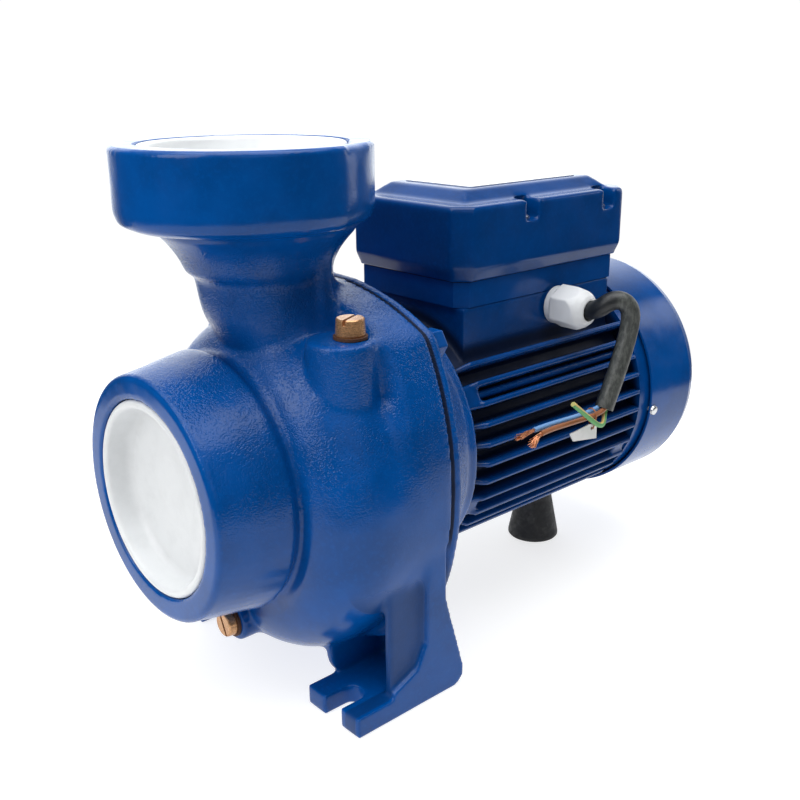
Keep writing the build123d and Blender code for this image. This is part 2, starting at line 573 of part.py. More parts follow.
for name, bearing in (("front_bearing", FRONT_BEARING), ("rear_bearing", REAR_BEARING)):
    x0, x1 = bearing["x"], bearing["x"] + bearing["width"]
    middle = (x0 + x1) / 2
    pitch_r = (bearing["bore"] + bearing["outer"]) / 2
    with BuildPart() as inner_ring:
        ring(x0, x1, bearing["bore"], pitch_r - 2.2)
        race_groove(bearing)
    save(f"{name}_inner_ring", inner_ring.part)
    with BuildPart() as outer_ring:
        ring(x0, x1, pitch_r + 2.2, bearing["outer"])
        race_groove(bearing)
    save(f"{name}_outer_ring", outer_ring.part)
    with BuildPart() as cage:
        ring(middle - 5.5, middle + 5.5, pitch_r - 1, pitch_r + 1)
        for ball in range(bearing["balls"]):
            with Locations((middle, *on_circle(pitch_r, (ball + 0.25) * 360 / bearing["balls"]))):
                Sphere(BALL_R + 0.12, mode=Mode.SUBTRACT)
    save(f"{name}_cage", cage.part)
    with BuildPart() as balls:
        for ball in range(bearing["balls"]):
            with Locations((middle, *on_circle(pitch_r, (ball + 0.25) * 360 / bearing["balls"]))):
                Sphere(BALL_R)
    save(f"{name}_balls", balls.part)

# ---------------------------------------------------------------- fan and fan cover
with BuildPart() as cooling_fan:
    ring(284, 306, 7.5, 16)
    ring(300, 302, 14, 44)
    for blade in range(8):
        with Locations((295, *on_circle(41, blade * 45))):
            Box(22, 54, 2, rotation=(blade * 45, 0, 0))
save("cooling_fan", cooling_fan.part)

with BuildPart() as fan_circlip:
    ring(306.3, 307.5, 7.5, 10)
save("fan_circlip", fan_circlip.part)

with BuildPart() as fan_cover:
    turn([(COVER_X0, COVER_R - SHEET_T), (COVER_X0, COVER_R), (COVER_X1 - 12, COVER_R), (COVER_X1 - 6, 82),
          (COVER_X1 - 2, 78), (COVER_X1, 72), (COVER_X1, 0), (COVER_X1 - SHEET_T, 0),
          (COVER_X1 - SHEET_T, 71.5), (COVER_X1 - 3.5, 76.8), (COVER_X1 - 7, 80.5),
          (COVER_X1 - 12.5, COVER_R - SHEET_T)])
    with BuildSketch(Plane.YZ.offset(COVER_X1 - 4)):
        for radius, count, length in ((24, 10, 18), (50, 20, 24)):
            for slot in range(count):
                angle = (slot + 0.5) * 360 / count
                with Locations(on_circle(radius, angle)):
                    SlotOverall(length, 5, rotation=angle)
    extrude(amount=6, mode=Mode.SUBTRACT)
    for angle in COVER_SCREW_ANGLES:
        y, z = on_circle(1, angle)
        turn_along((COVER_SCREW_X, 0, SHAFT_Z), (0, y, z - SHAFT_Z), [(80, 0), (80, 2), (86, 2), (86, 0)],
                   Mode.SUBTRACT)
save("fan_cover", fan_cover.part)

with BuildPart() as fan_cover_screws:
    for angle in COVER_SCREW_ANGLES:
        y, z = on_circle(1, angle)
        turn_along((COVER_SCREW_X, 0, SHAFT_Z), (0, y, z - SHAFT_Z),
                   [(76.5, 0), (76.5, 1.8), (84, 1.8), (84, 3.6), (85.6, 3.2), (86.2, 2), (86.2, 0)])
save("fan_cover_screws", fan_cover_screws.part)

# ---------------------------------------------------------------- rubber foot
with BuildPart() as support_foot:
    turn_up(FOOT_CONE_X, 0, [(5.5, 0), (18.4, 0), (19.2, 1), (19.2, 3), (13.5, 32), (12.5, 44), (3.2, 44),
                             (3.2, 6), (5.5, 6)])
save("support_foot", support_foot.part)

with BuildPart() as support_foot_screw:
    turn_up(FOOT_CONE_X, 0, [(0, 2), (5, 2), (5, 6), (3, 6), (3, 59), (0, 59)])
save("support_foot_screw", support_foot_screw.part)

# ---------------------------------------------------------------- terminal box
WALL = 3.0
BOX_X = (BOX_X0 + BOX_X1) / 2
BASE_X = (BASE_X0 + BASE_X1) / 2
COVER_LOW_Z = BASE_TOP_Z + 0.6
BAND_H = 8.0                    # the cover's lower edge slopes in over this height
SCREW_X = (175.0, 252.0)
SCREW_Y = 45.5
POCKET_Z = 258.0


def box_outline(z, inset=0.0, corner=10.0):
    """The cover's outline: a rectangle with cut corners."""
    with BuildSketch(Plane.XY.offset(z)) as outline:
        with Locations((BOX_X, 0)):
            Rectangle(BOX_X1 - BOX_X0 - 2 * inset, 2 * (BOX_HALF_Y - inset))
        chamfer(outline.vertices(), corner)
    return outline.sketch


def base_outline(z, inset=0.0, corner=7.0):
    """The base's outline, the same shape a little smaller."""
    with BuildSketch(Plane.XY.offset(z)) as outline:
        with Locations((BASE_X, 0)):
            Rectangle(BASE_X1 - BASE_X0 - 2 * inset, 2 * (BASE_HALF_Y - inset))
        chamfer(outline.vertices(), corner)
    return outline.sketch


SCREW_PLACES = [(x, side * SCREW_Y) for x in SCREW_X for side in (-1, 1)]

with BuildPart() as terminal_box_base:
    extrude(base_outline(SEAT_Z), BASE_TOP_Z - SEAT_Z)
    extrude(base_outline(SEAT_Z + WALL, WALL, 5), BASE_TOP_Z - SEAT_Z, mode=Mode.SUBTRACT)
    for x, y in SCREW_PLACES:
        turn_up(x, y, [(0, SEAT_Z + 1), (3.5, SEAT_Z + 1), (3.5, BASE_TOP_Z), (0, BASE_TOP_Z)])
        turn_up(x, y, [(0, 214), (2, 214), (2, BASE_TOP_Z + 1), (0, BASE_TOP_Z + 1)], Mode.SUBTRACT)
    for x in (154, 196):
        block(x - 3, x + 3, -30, -4, SEAT_Z + 1, 215)
    block(160, 190, -30, -4, SEAT_Z - 1, SEAT_Z + WALL + 1, Mode.SUBTRACT)
    block(*WINDOW_X, -14, 14, SEAT_Z - 1, SEAT_Z + WALL + 1, Mode.SUBTRACT)
    turn_up(EARTH_X, EARTH_Y, [(0, SEAT_Z - 1), (2, SEAT_Z - 1), (2, SEAT_Z + WALL + 1), (0, SEAT_Z + WALL + 1)],
            Mode.SUBTRACT)
save("terminal_box_base", terminal_box_base.part)

with BuildPart() as terminal_box_gasket:
    extrude(base_outline(BASE_TOP_Z, 0.8, 6.5), COVER_LOW_Z - BASE_TOP_Z)
    extrude(base_outline(BASE_TOP_Z - 1, WALL, 5), 4, mode=Mode.SUBTRACT)
    for x, y in SCREW_PLACES:
        turn_up(x, y, [(0, BASE_TOP_Z - 1), (2.2, BASE_TOP_Z - 1), (2.2, COVER_LOW_Z + 1), (0, COVER_LOW_Z + 1)],
                Mode.SUBTRACT)
save("terminal_box_gasket", terminal_box_gasket.part)

with BuildPart() as terminal_box_cover:
    loft([box_outline(COVER_LOW_Z, 3.2, 8.5).face(), box_outline(COVER_LOW_Z + BAND_H).face()])
    extrude(box_outline(COVER_LOW_Z + BAND_H), BOX_TOP_Z - COVER_LOW_Z - BAND_H)
    fillet(terminal_box_cover.edges().group_by(Axis.Z)[-1], 2.5)
    with BuildSketch(Plane.XY.offset(BOX_TOP_Z - 0.5)):
        with Locations((BOX_X, 0)):
            Rectangle(BOX_X1 - BOX_X0 - 24, 2 * BOX_HALF_Y - 20)
    with BuildSketch(Plane.XY.offset(PANEL_TOP_Z)):
        with Locations((BOX_X, 0)):
            Rectangle(BOX_X1 - BOX_X0 - 44, 2 * BOX_HALF_Y - 40)
    loft()
    # inside
    extrude(box_outline(COVER_LOW_Z - 1, 7.5, 6), BAND_H + 1, mode=Mode.SUBTRACT)
    extrude(box_outline(COVER_LOW_Z + BAND_H - 1, WALL + 1.5, 8), BOX_TOP_Z - COVER_LOW_Z - BAND_H - WALL,
            mode=Mode.SUBTRACT)
    # screw pockets in the long edges, each with a column down to the base
    for x, y in SCREW_PLACES:
        out = BOX_HALF_Y * (1 if y > 0 else -1)
        near, far = sorted((y - (5.5 if y > 0 else -5.5), out))
        block(x - 7.5, x + 7.5, near - (2 if y > 0 else 0), far + (0 if y > 0 else 2), POCKET_Z - 2,
              BOX_TOP_Z - 1)
        turn_up(x, y, [(0, COVER_LOW_Z), (3.5, COVER_LOW_Z), (3.5, POCKET_Z), (0, POCKET_Z)])
    for x, y in SCREW_PLACES:
        near, far = sorted((y - (5.5 if y > 0 else -5.5), (BOX_HALF_Y + 2) * (1 if y > 0 else -1)))
        block(x - 5.5, x + 5.5, near, far, POCKET_Z, BOX_TOP_Z + 1, Mode.SUBTRACT)
        turn_up(x, y, [(0, 220), (2.2, 220), (2.2, POCKET_Z + 1), (0, POCKET_Z + 1)], Mode.SUBTRACT)
save("terminal_box_cover", terminal_box_cover.part)

with BuildPart() as cover_screws:
    for x, y in SCREW_PLACES:
        turn_up(x, y, [(0, 215), (2, 215), (2, POCKET_Z), (4, POCKET_Z), (4, POCKET_Z + 1.5),
                       (2.6, POCKET_Z + 2.6), (0, POCKET_Z + 2.8)])
save("cover_screws", cover_screws.part)

with BuildPart() as blank_nameplate:
    block(143, 245, -30, 30, PANEL_TOP_Z, PANEL_TOP_Z + 0.6)
    fillet(blank_nameplate.edges().filter_by(Axis.Z), 3)
save("blank_nameplate", blank_nameplate.part)

STUD_PLACES = [(x, y) for x in (162, 175, 188) for y in (-24, -10)]

with BuildPart() as terminal_board:
    block(150, 200, -32, -2, 215, 218.5)
    for x, y in STUD_PLACES:
        turn_up(x, y, [(0, 214), (2, 214), (2, 220), (0, 220)], Mode.SUBTRACT)
save("terminal_board", terminal_board.part)

with BuildPart() as terminal_studs:
    for x, y in STUD_PLACES:
        turn_up(x, y, [(0, 213.2), (3.2, 213.2), (3.2, 215), (2, 215), (2, 226), (0, 226)])
        with BuildSketch(Plane.XY.offset(218.5)):
            with Locations((x, y)):
                RegularPolygon(4, 6)
    extrude(amount=3)
save("terminal_studs", terminal_studs.part)

with BuildPart() as run_capacitor:
    turn_along((152, 22, 234), (1, 0, 0), [(0, 0), (0, 19), (1, 20), (84, 20), (84, 18), (86, 18), (86, 0)])
save("run_capacitor", run_capacitor.part)

with BuildPart() as earth_screw:
    turn_up(EARTH_X, EARTH_Y, [(0, 204), (2, 204), (2, SEAT_Z + WALL), (4.5, SEAT_Z + WALL), (4.5, 215), (3.5, 216),
                       (0, 216)])
save("earth_screw", earth_screw.part)

# ---------------------------------------------------------------- cable gland
OUTWARD = (0, -1, 0)

with BuildPart() as gland_body:
    turn_along((GLAND_X, -36, GLAND_Z), OUTWARD,
               [(0, 5.7), (0, 8.6), (15, 8.6), (15, 12.4), (19, 12.4), (19, 8.5), (31, 8.5), (31, 7.6),
                (24, 7.6), (24, 5.7)])
save("gland_body", gland_body.part)

with BuildPart() as gland_seal:
    turn_along((GLAND_X, -60, GLAND_Z), OUTWARD, [(0, CABLE_R), (0, 7.6), (9, 7.6), (9, CABLE_R)])
save("gland_seal", gland_seal.part)

with BuildPart() as gland_nut:
    with BuildSketch(Plane((GLAND_X, -55.3, GLAND_Z), z_dir=OUTWARD)):
        RegularPolygon(14.4, 6)
    extrude(amount=-55.3 - GLAND_TIP_Y)
    turn_along((GLAND_X, -55.3, GLAND_Z), OUTWARD,
               [(0, 0), (0, 13.4), (1, 15), (10, 15), (14, 14), (19, 12), (22.4, 9.5), (-55.3 - GLAND_TIP_Y, 7.4),
                (-55.3 - GLAND_TIP_Y, 0)], Mode.INTERSECT)
    turn_along((GLAND_X, -50, GLAND_Z), OUTWARD, [(0, 0), (0, 8.5), (20, 8.5), (22, 6.4), (35, 6.4), (35, 0)],
               Mode.SUBTRACT)
save("gland_nut", gland_nut.part)

# ---------------------------------------------------------------- supply cable and its stripped end
CABLE_ROUTE = [
    (204, -71, 199.5), (204, -79.5, 199.9), (204.4, -86, 202.4), (206.2, -90.6, 206.6), (209.6, -95, 208.8),
    (213.1, -99, 207.4), (215.5, -101.7, 202.4), (215.6, -102.2, 194), (212.6, -102, 183), (208.2, -101.8, 171.5),
    (203.6, -101.6, 161), (198.8, -101.4, 151), (194.2, -101.2, 141.6),
]
BROWN_ROUTE = [
    (193.4, -103.2, 143.2), (190.6, -103.5, 141.6), (184, -103.7, 140.7), (176, -103.6, 140.6),
    (165, -103.5, 140.8), (153, -103.4, 141.2), (141, -103.3, 141.7), (131, -103.2, 141),
]
BLUE_ROUTE = [
    (193.8, -99.6, 144), (191, -99.8, 142.9), (184, -100, 142.2), (174, -100, 141.9), (163, -100, 142.2),
    (151, -100, 142.8), (139, -100, 143.2), (128, -100, 143.2),
]
EARTH_ROUTE = [
    (195.4, -101.3, 142.4), (192.6, -103.2, 137.4), (187.4, -106.4, 133.4), (180.4, -107.8, 135.2),
    (170, -107.9, 143), (154.4, -107.6, 155.2),
]
STRAND_R = 0.42

save("power_cable", tube(CABLE_ROUTE, CABLE_R))
save("core_brown", tube(BROWN_ROUTE, CORE_R))
save("core_blue", tube(BLUE_ROUTE, CORE_R))
save("core_earth", tube(EARTH_ROUTE, CORE_R))

with BuildPart() as copper_strands:
    for route, spread, reach in ((BROWN_ROUTE, 0.32, 16), (BLUE_ROUTE, 0.22, 14)):
        tip = Vector(*route[-1])
        along = (tip - Vector(*route[-2])).normalized()
        end_face = Plane(tip, z_dir=along)
        for strand in range(7):
            lean = (cos(strand * pi / 3), sin(strand * pi / 3)) if strand else (0, 0)
            root = end_face.from_local_coords(Vector(lean[0], lean[1], 0))
            heading = along + (root - tip) * spread + Vector(0, 0, -0.12)
            turn_along(root, heading, [(0, 0), (0, STRAND_R), (reach - strand, STRAND_R), (reach - strand, 0)])
save("copper_strands", copper_strands.part)

with BuildPart() as wire_tag:
    with BuildSketch(Plane.XZ.offset(103.6)):
        with BuildLine():
            Polyline((157.3, 134.3), (160.8, 128.6), (183.9, 124.9), (183.5, 134.2), (176, 136.1), close=True)
        make_face()
        with Locations((178.5, 132.8)):
            Circle(1.1, mode=Mode.SUBTRACT)
    extrude(amount=0.8)
save("wire_tag", wire_tag.part)
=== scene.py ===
import json
import math

import bmesh
import bpy
import numpy as np
from mathutils import Matrix, Vector, noise

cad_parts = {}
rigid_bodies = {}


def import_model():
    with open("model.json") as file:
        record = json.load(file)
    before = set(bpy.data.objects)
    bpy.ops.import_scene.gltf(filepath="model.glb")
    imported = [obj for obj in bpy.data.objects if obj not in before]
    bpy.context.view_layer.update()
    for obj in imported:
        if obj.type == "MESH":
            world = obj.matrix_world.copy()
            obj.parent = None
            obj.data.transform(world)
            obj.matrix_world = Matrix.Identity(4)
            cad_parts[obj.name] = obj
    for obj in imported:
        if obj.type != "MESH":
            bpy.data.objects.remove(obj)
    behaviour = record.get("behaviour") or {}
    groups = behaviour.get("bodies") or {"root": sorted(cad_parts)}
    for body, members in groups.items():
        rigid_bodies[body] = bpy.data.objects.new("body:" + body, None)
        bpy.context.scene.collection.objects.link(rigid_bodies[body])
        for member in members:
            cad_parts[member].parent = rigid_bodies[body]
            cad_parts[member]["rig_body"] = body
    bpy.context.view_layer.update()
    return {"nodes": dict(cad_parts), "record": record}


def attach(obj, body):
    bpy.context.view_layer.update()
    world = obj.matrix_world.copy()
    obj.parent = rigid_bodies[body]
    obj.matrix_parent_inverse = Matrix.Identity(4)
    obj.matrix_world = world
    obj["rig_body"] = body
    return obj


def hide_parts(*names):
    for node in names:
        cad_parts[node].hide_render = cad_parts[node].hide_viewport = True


# Centrifugal water pump: the looks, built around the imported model. Metres, in the model's own frame.
# X runs along the shaft from the suction port to the fan cover, Z is up, the floor is z = 0.

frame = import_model()
SLOT_OF = {row["node"]: row["material_slot"] for row in frame["record"]["subparts"]}

MM = 0.001
BODY = "pump_body"
SHAFT_Z = 0.126             # the shaft's height
SUCTION_MOUTH_X = -0.073    # the suction collar's front face
DISCHARGE_MOUTH_Z = 0.312   # the discharge collar's top face
THREAD_R = 0.0575           # everything closer to a port's axis is its thread


def put_in_scene(name, data):
    """A new object for this data, in the scene."""
    made = bpy.data.objects.new(name, data)
    bpy.context.scene.collection.objects.link(made)
    return made


# ================================================================ camera and light
CAMERA_PLACE = Vector((-0.2992, -0.4590, 0.3476))
CAMERA_AZIMUTH, CAMERA_ELEVATION, CAMERA_ROLL = math.radians(-41.76), math.radians(18.50), -0.0084553
CAMERA_LENS = 44.5
FLOOR_RADIUS = 0.66
FLOOR_FADE = (0.26, 0.60)   # the paper turns from lit to glowing white between these distances


def make_camera():
    """The photograph's viewpoint: in front of the suction port and to the near side."""
    az, el, roll = CAMERA_AZIMUTH, CAMERA_ELEVATION, CAMERA_ROLL
    back = Vector((math.sin(az) * math.cos(el), -math.cos(az) * math.cos(el), math.sin(el)))
    right = Vector((math.cos(az), math.sin(az), 0))
    up = back.cross(right)
    right, up = math.cos(roll) * right + math.sin(roll) * up, math.cos(roll) * up - math.sin(roll) * right
    lens = bpy.data.cameras.new("camera")
    lens.lens, lens.sensor_width = CAMERA_LENS, 36.0
    lens.clip_start, lens.clip_end = 0.02, 40.0
    camera = put_in_scene("camera", lens)
    turn = Matrix((right, up, back)).transposed()
    camera.matrix_world = Matrix.Translation(CAMERA_PLACE) @ turn.to_4x4()
    bpy.context.scene.camera = camera
    return back


def area_light(name, place, target, size, power):
    """A white soft box that looks at target: size in metres, power in watts."""
    data = bpy.data.lights.new(name, "AREA")
    data.shape, data.size, data.size_y = "RECTANGLE", size[0], size[1]
    data.energy = power
    light = put_in_scene(name, data)
    light.location = place
    light.rotation_euler = (Vector(target) - Vector(place)).to_track_quat("-Z", "Y").to_euler()


def make_room(toward_camera):
    """A pale floor, a pale surround and soft boxes. The surround is bright overhead and behind the object."""
    plane = bmesh.new()
    bmesh.ops.create_circle(plane, cap_ends=True, segments=128, radius=FLOOR_RADIUS)
    mesh = bpy.data.meshes.new("floor")
    plane.to_mesh(mesh)
    plane.free()
    floor = put_in_scene("floor", mesh)
    floor.location = (0.1, 0.0, -0.0004)
    paper = bpy.data.materials.new("floor_paper")
    paper.use_nodes = True
    shader = paper.node_tree.nodes["Principled BSDF"]
    shader.inputs["Roughness"].default_value = 0.9
    shader.inputs["Specular IOR Level"].default_value = 0.1
    shader.inputs["Emission Color"].default_value = (1, 1, 1, 1)
    links, add_node = paper.node_tree.links, paper.node_tree.nodes.new
    reach = add_node("ShaderNodeVectorMath")
    reach.operation = "LENGTH"
    links.new(add_node("ShaderNodeTexCoord").outputs["Object"], reach.inputs[0])
    for socket, near, far in (("Base Color", 0.45, 0.0), ("Emission Strength", 0.74, 1.45)):
        fade = add_node("ShaderNodeMapRange")
        fade.interpolation_type = "SMOOTHSTEP"
        for name, value in zip(("From Min", "From Max", "To Min", "To Max"), (*FLOOR_FADE, near, far)):
            fade.inputs[name].default_value = value
        links.new(reach.outputs["Value"], fade.inputs["Value"])
        links.new(fade.outputs["Result"], shader.inputs[socket])
    mesh.materials.append(paper)

    world = bpy.data.worlds.new("studio")
    bpy.context.scene.world = world
    world.use_nodes = True
    tree = world.node_tree
    tree.nodes.clear()
    way = tree.nodes.new("ShaderNodeTexCoord").outputs["Generated"]

    def lobe(direction, start, end, level):
        """Brightness that rises as the view turns towards direction."""
        dot = tree.nodes.new("ShaderNodeVectorMath")
        dot.operation = "DOT_PRODUCT"
        tree.links.new(way, dot.inputs[0])
        dot.inputs[1].default_value = Vector(direction).normalized()
        rise = tree.nodes.new("ShaderNodeMapRange")
        rise.interpolation_type = "SMOOTHSTEP"
        tree.links.new(dot.outputs["Value"], rise.inputs["Value"])
        rise.inputs["From Min"].default_value, rise.inputs["From Max"].default_value = start, end
        rise.inputs["To Min"].default_value, rise.inputs["To Max"].default_value = 0.0, level
        return rise.outputs["Result"]

    def add(a, b):
        total = tree.nodes.new("ShaderNodeMath")
        total.operation = "ADD"
        for socket, value in zip(total.inputs, (a, b)):
            if isinstance(value, float):
                socket.default_value = value
            else:
                tree.links.new(value, socket)
        return total.outputs["Value"]

    away = Vector((-toward_camera.x, -toward_camera.y, 0.25))
    overhead = lobe((-0.2, 0.1, 1.0), 0.50, 0.95, 0.60)
    level = add(add(0.04, overhead), lobe(away, 0.55, 0.96, 2.00))
    studio = tree.nodes.new("ShaderNodeBackground")
    studio.inputs["Color"].default_value = (0.93, 0.97, 1.0, 1)
    tree.links.new(level, studio.inputs["Strength"])
    backdrop = tree.nodes.new("ShaderNodeBackground")
    backdrop.inputs["Color"].default_value = (1.0, 1.0, 1.0, 1)
    backdrop.inputs["Strength"].default_value = 1.02
    ray = tree.nodes.new("ShaderNodeLightPath")
    choose = tree.nodes.new("ShaderNodeMixShader")
    tree.links.new(ray.outputs["Is Camera Ray"], choose.inputs["Fac"])
    tree.links.new(studio.outputs["Background"], choose.inputs[1])
    tree.links.new(backdrop.outputs["Background"], choose.inputs[2])
    out = tree.nodes.new("ShaderNodeOutputWorld")
    tree.links.new(choose.outputs["Shader"], out.inputs["Surface"])

    centre = (0.10, 0.0, 0.14)
    area_light("overhead_softbox", (0.00, -0.12, 1.35), centre, (1.5, 1.1), 17.0)
    area_light("left_softbox", (-1.05, 0.05, 0.85), centre, (0.7, 0.9), 8.5)
    area_light("front_fill", (-0.55, -1.5, 0.95), centre, (1.4, 0.9), 2.0)
    area_light("right_strip", (1.35, -0.45, 0.50), centre, (0.30, 0.9), 2.2)
    bpy.context.scene.view_settings.view_transform = "Standard"


toward_camera = make_camera()
make_room(toward_camera)


# ================================================================ materials
class Finish:
    """One procedural material: a Principled shader and the textures that feed it."""

    def __init__(self, name):
        self.material = bpy.data.materials.new(name)
        self.material.use_nodes = True
        self.tree = self.material.node_tree
        self.shader = self.tree.nodes["Principled BSDF"]
        self.place = self.tree.nodes.new("ShaderNodeTexCoord").outputs["Object"]
        self.normal = None

    def put(self, socket, value):
        """Link a socket to another one, or set its number."""
        if isinstance(value, bpy.types.NodeSocket):
            self.tree.links.new(value, socket)
        else:
            socket.default_value = value

    def add(self, kind, values=(), **settings):
        """A node with its settings, and its inputs by name or index."""
        made = self.tree.nodes.new(kind)
        for key, value in settings.items():
            setattr(made, key, value)
        for key, value in dict(values).items():
            self.put(made.inputs[key], value)
        return made

    def set(self, **numbers):
        """Numbers or sockets for the shader itself."""
        names = {"base": "Base Color", "rough": "Roughness", "metal": "Metallic", "coat": "Coat Weight",
                 "coat_rough": "Coat Roughness", "ior": "IOR", "subsurface": "Subsurface Weight",
                 "specular": "Specular IOR Level"}
        for key, value in numbers.items():
            self.put(self.shader.inputs[names[key]], value)

    def stretched(self, scale):
        """Object coordinates scaled along each axis, for brushed or layered looks."""
        return self.add("ShaderNodeMapping", {"Vector": self.place, "Scale": scale}).outputs[0]

    def speckle(self, size, detail=2.0, rough=0.5, where=None, distortion=0.0):
        """Soft noise with features about size metres across, from 0 to 1."""
        return self.add("ShaderNodeTexNoise", {"Vector": where or self.place, "Scale": 1.0 / size, "Detail": detail,
                                               "Roughness": rough, "Distortion": distortion}).outputs[0]

    def cells(self, size):
        """Distance to scattered points about size metres apart."""
        return self.add("ShaderNodeTexVoronoi", {"Vector": self.place, "Scale": 1.0 / size}).outputs["Distance"]

    def spread(self, value, low, high, start, end):
        """Map start..end smoothly to low..high, held at both ends."""
        return self.add("ShaderNodeMapRange", {"Value": value, "From Min": start, "From Max": end,
                                               "To Min": low, "To Max": high},
                        interpolation_type="SMOOTHSTEP").outputs["Result"]

    def maths(self, operation, a, b=0.0):
        return self.add("ShaderNodeMath", {0: a, 1: b}, operation=operation).outputs[0]

    def blend(self, share, first, second):
        """A colour between first and second."""
        made = self.add("ShaderNodeMix", data_type="RGBA")
        self.put(made.inputs[0], share)
        self.put(made.inputs[6], first)
        self.put(made.inputs[7], second)
        return made.outputs[2]

    def worn(self, start, end):
        """1 on sharp convex edges, 0 elsewhere."""
        return self.spread(self.add("ShaderNodeNewGeometry").outputs["Pointiness"], 0.0, 1.0, start, end)

    def part_of(self, axis):
        """One of the object coordinates, in metres."""
        return self.add("ShaderNodeSeparateXYZ", {0: self.place}).outputs["XYZ".index(axis)]

    def soften(self, radius):
        """Round the shading of sharp edges over this radius."""
        self.normal = self.add("ShaderNodeBevel", {"Radius": radius}, samples=4).outputs[0]
        self.put(self.shader.inputs["Normal"], self.normal)

    def relief(self, height, depth):
        """Bump of this depth in metres, on top of what is there."""
        bump = self.add("ShaderNodeBump", {"Height": height, "Distance": depth, "Strength": 1.0})
        if self.normal is not None:
            self.put(bump.inputs["Normal"], self.normal)
        self.normal = bump.outputs[0]
        self.put(self.shader.inputs["Normal"], self.normal)

    def beyond(self, axis, limit, side=1.0, soft=0.0004):
        """1 past a plane across one axis, 0 before it."""
        return self.spread(self.maths("MULTIPLY", self.part_of(axis), side), 0.0, 1.0, side * limit - soft,
                           side * limit + soft)

    def round_shaft(self):
        """Distance from the shaft's centre line."""
        flat = self.add("ShaderNodeVectorMath", {0: self.place, 1: (0.0, 0.0, -SHAFT_Z)}, operation="ADD").outputs[0]
        across = self.add("ShaderNodeVectorMath", {0: flat, 1: (0.0, 1.0, 1.0)}, operation="MULTIPLY").outputs[0]
        return self.add("ShaderNodeVectorMath", {0: across}, operation="LENGTH").outputs["Value"]


def rgb(red, green, blue):
    return (red, green, blue, 1.0)


def scaled(colour, share):
    return tuple(channel * share for channel in colour[:3]) + (1.0,)


BLUE = rgb(0.000, 0.064, 0.275)
BLUE_DEEP = rgb(0.000, 0.046, 0.205)
FIN_GAP_SHADE = rgb(0.001, 0.003, 0.012)
GROOVE_SHADE = rgb(0.001, 0.004, 0.016)
FIN_DEPTH = (0.0740, 0.0800)        # painted shade between the fins: the paint darkens from the outer to the inner radius
RIM_GROOVE_X = (0.0520, 0.0555)     # painted shade in the groove between the casing's rim and the bracket
RIM_GROOVE_R = (0.1215, 0.1230)
# painted shade in the recess of each leg: a band across |y|, below LEG_RECESS_TOP
LEG_RECESS_Y = (0.0925, 0.0935, 0.1008, 0.1026)
LEG_RECESS_TOP = 0.078
FACED_Z, FACED_X = 0.3112, -0.0722  # paint past these lies on the collars' turned faces


def painted_shade_places(paint):
    """Painted shade: darker, rougher paint in the groove behind the rim and, less so, in the recess of each leg."""
    groove = paint.maths("MULTIPLY", paint.beyond("X", RIM_GROOVE_X[0], 1.0, 0.0003),
                         paint.beyond("X", RIM_GROOVE_X[1], -1.0, 0.0003))
    groove = paint.maths("MULTIPLY", groove, paint.beyond("Z", 0.094, 1.0, 0.006))
    groove = paint.maths("MULTIPLY", groove, paint.spread(paint.round_shaft(), 1.0, 0.0, *RIM_GROOVE_R))
    side = paint.maths("ABSOLUTE", paint.part_of("Y"))
    recess = paint.maths("MULTIPLY", paint.spread(side, 0.0, 1.0, *LEG_RECESS_Y[:2]),
                         paint.spread(side, 1.0, 0.0, *LEG_RECESS_Y[2:]))
    recess = paint.maths("MULTIPLY", recess, paint.beyond("Z", LEG_RECESS_TOP, -1.0, 0.012))
    return paint.maths("MAXIMUM", groove, paint.maths("MULTIPLY", recess, 0.45))


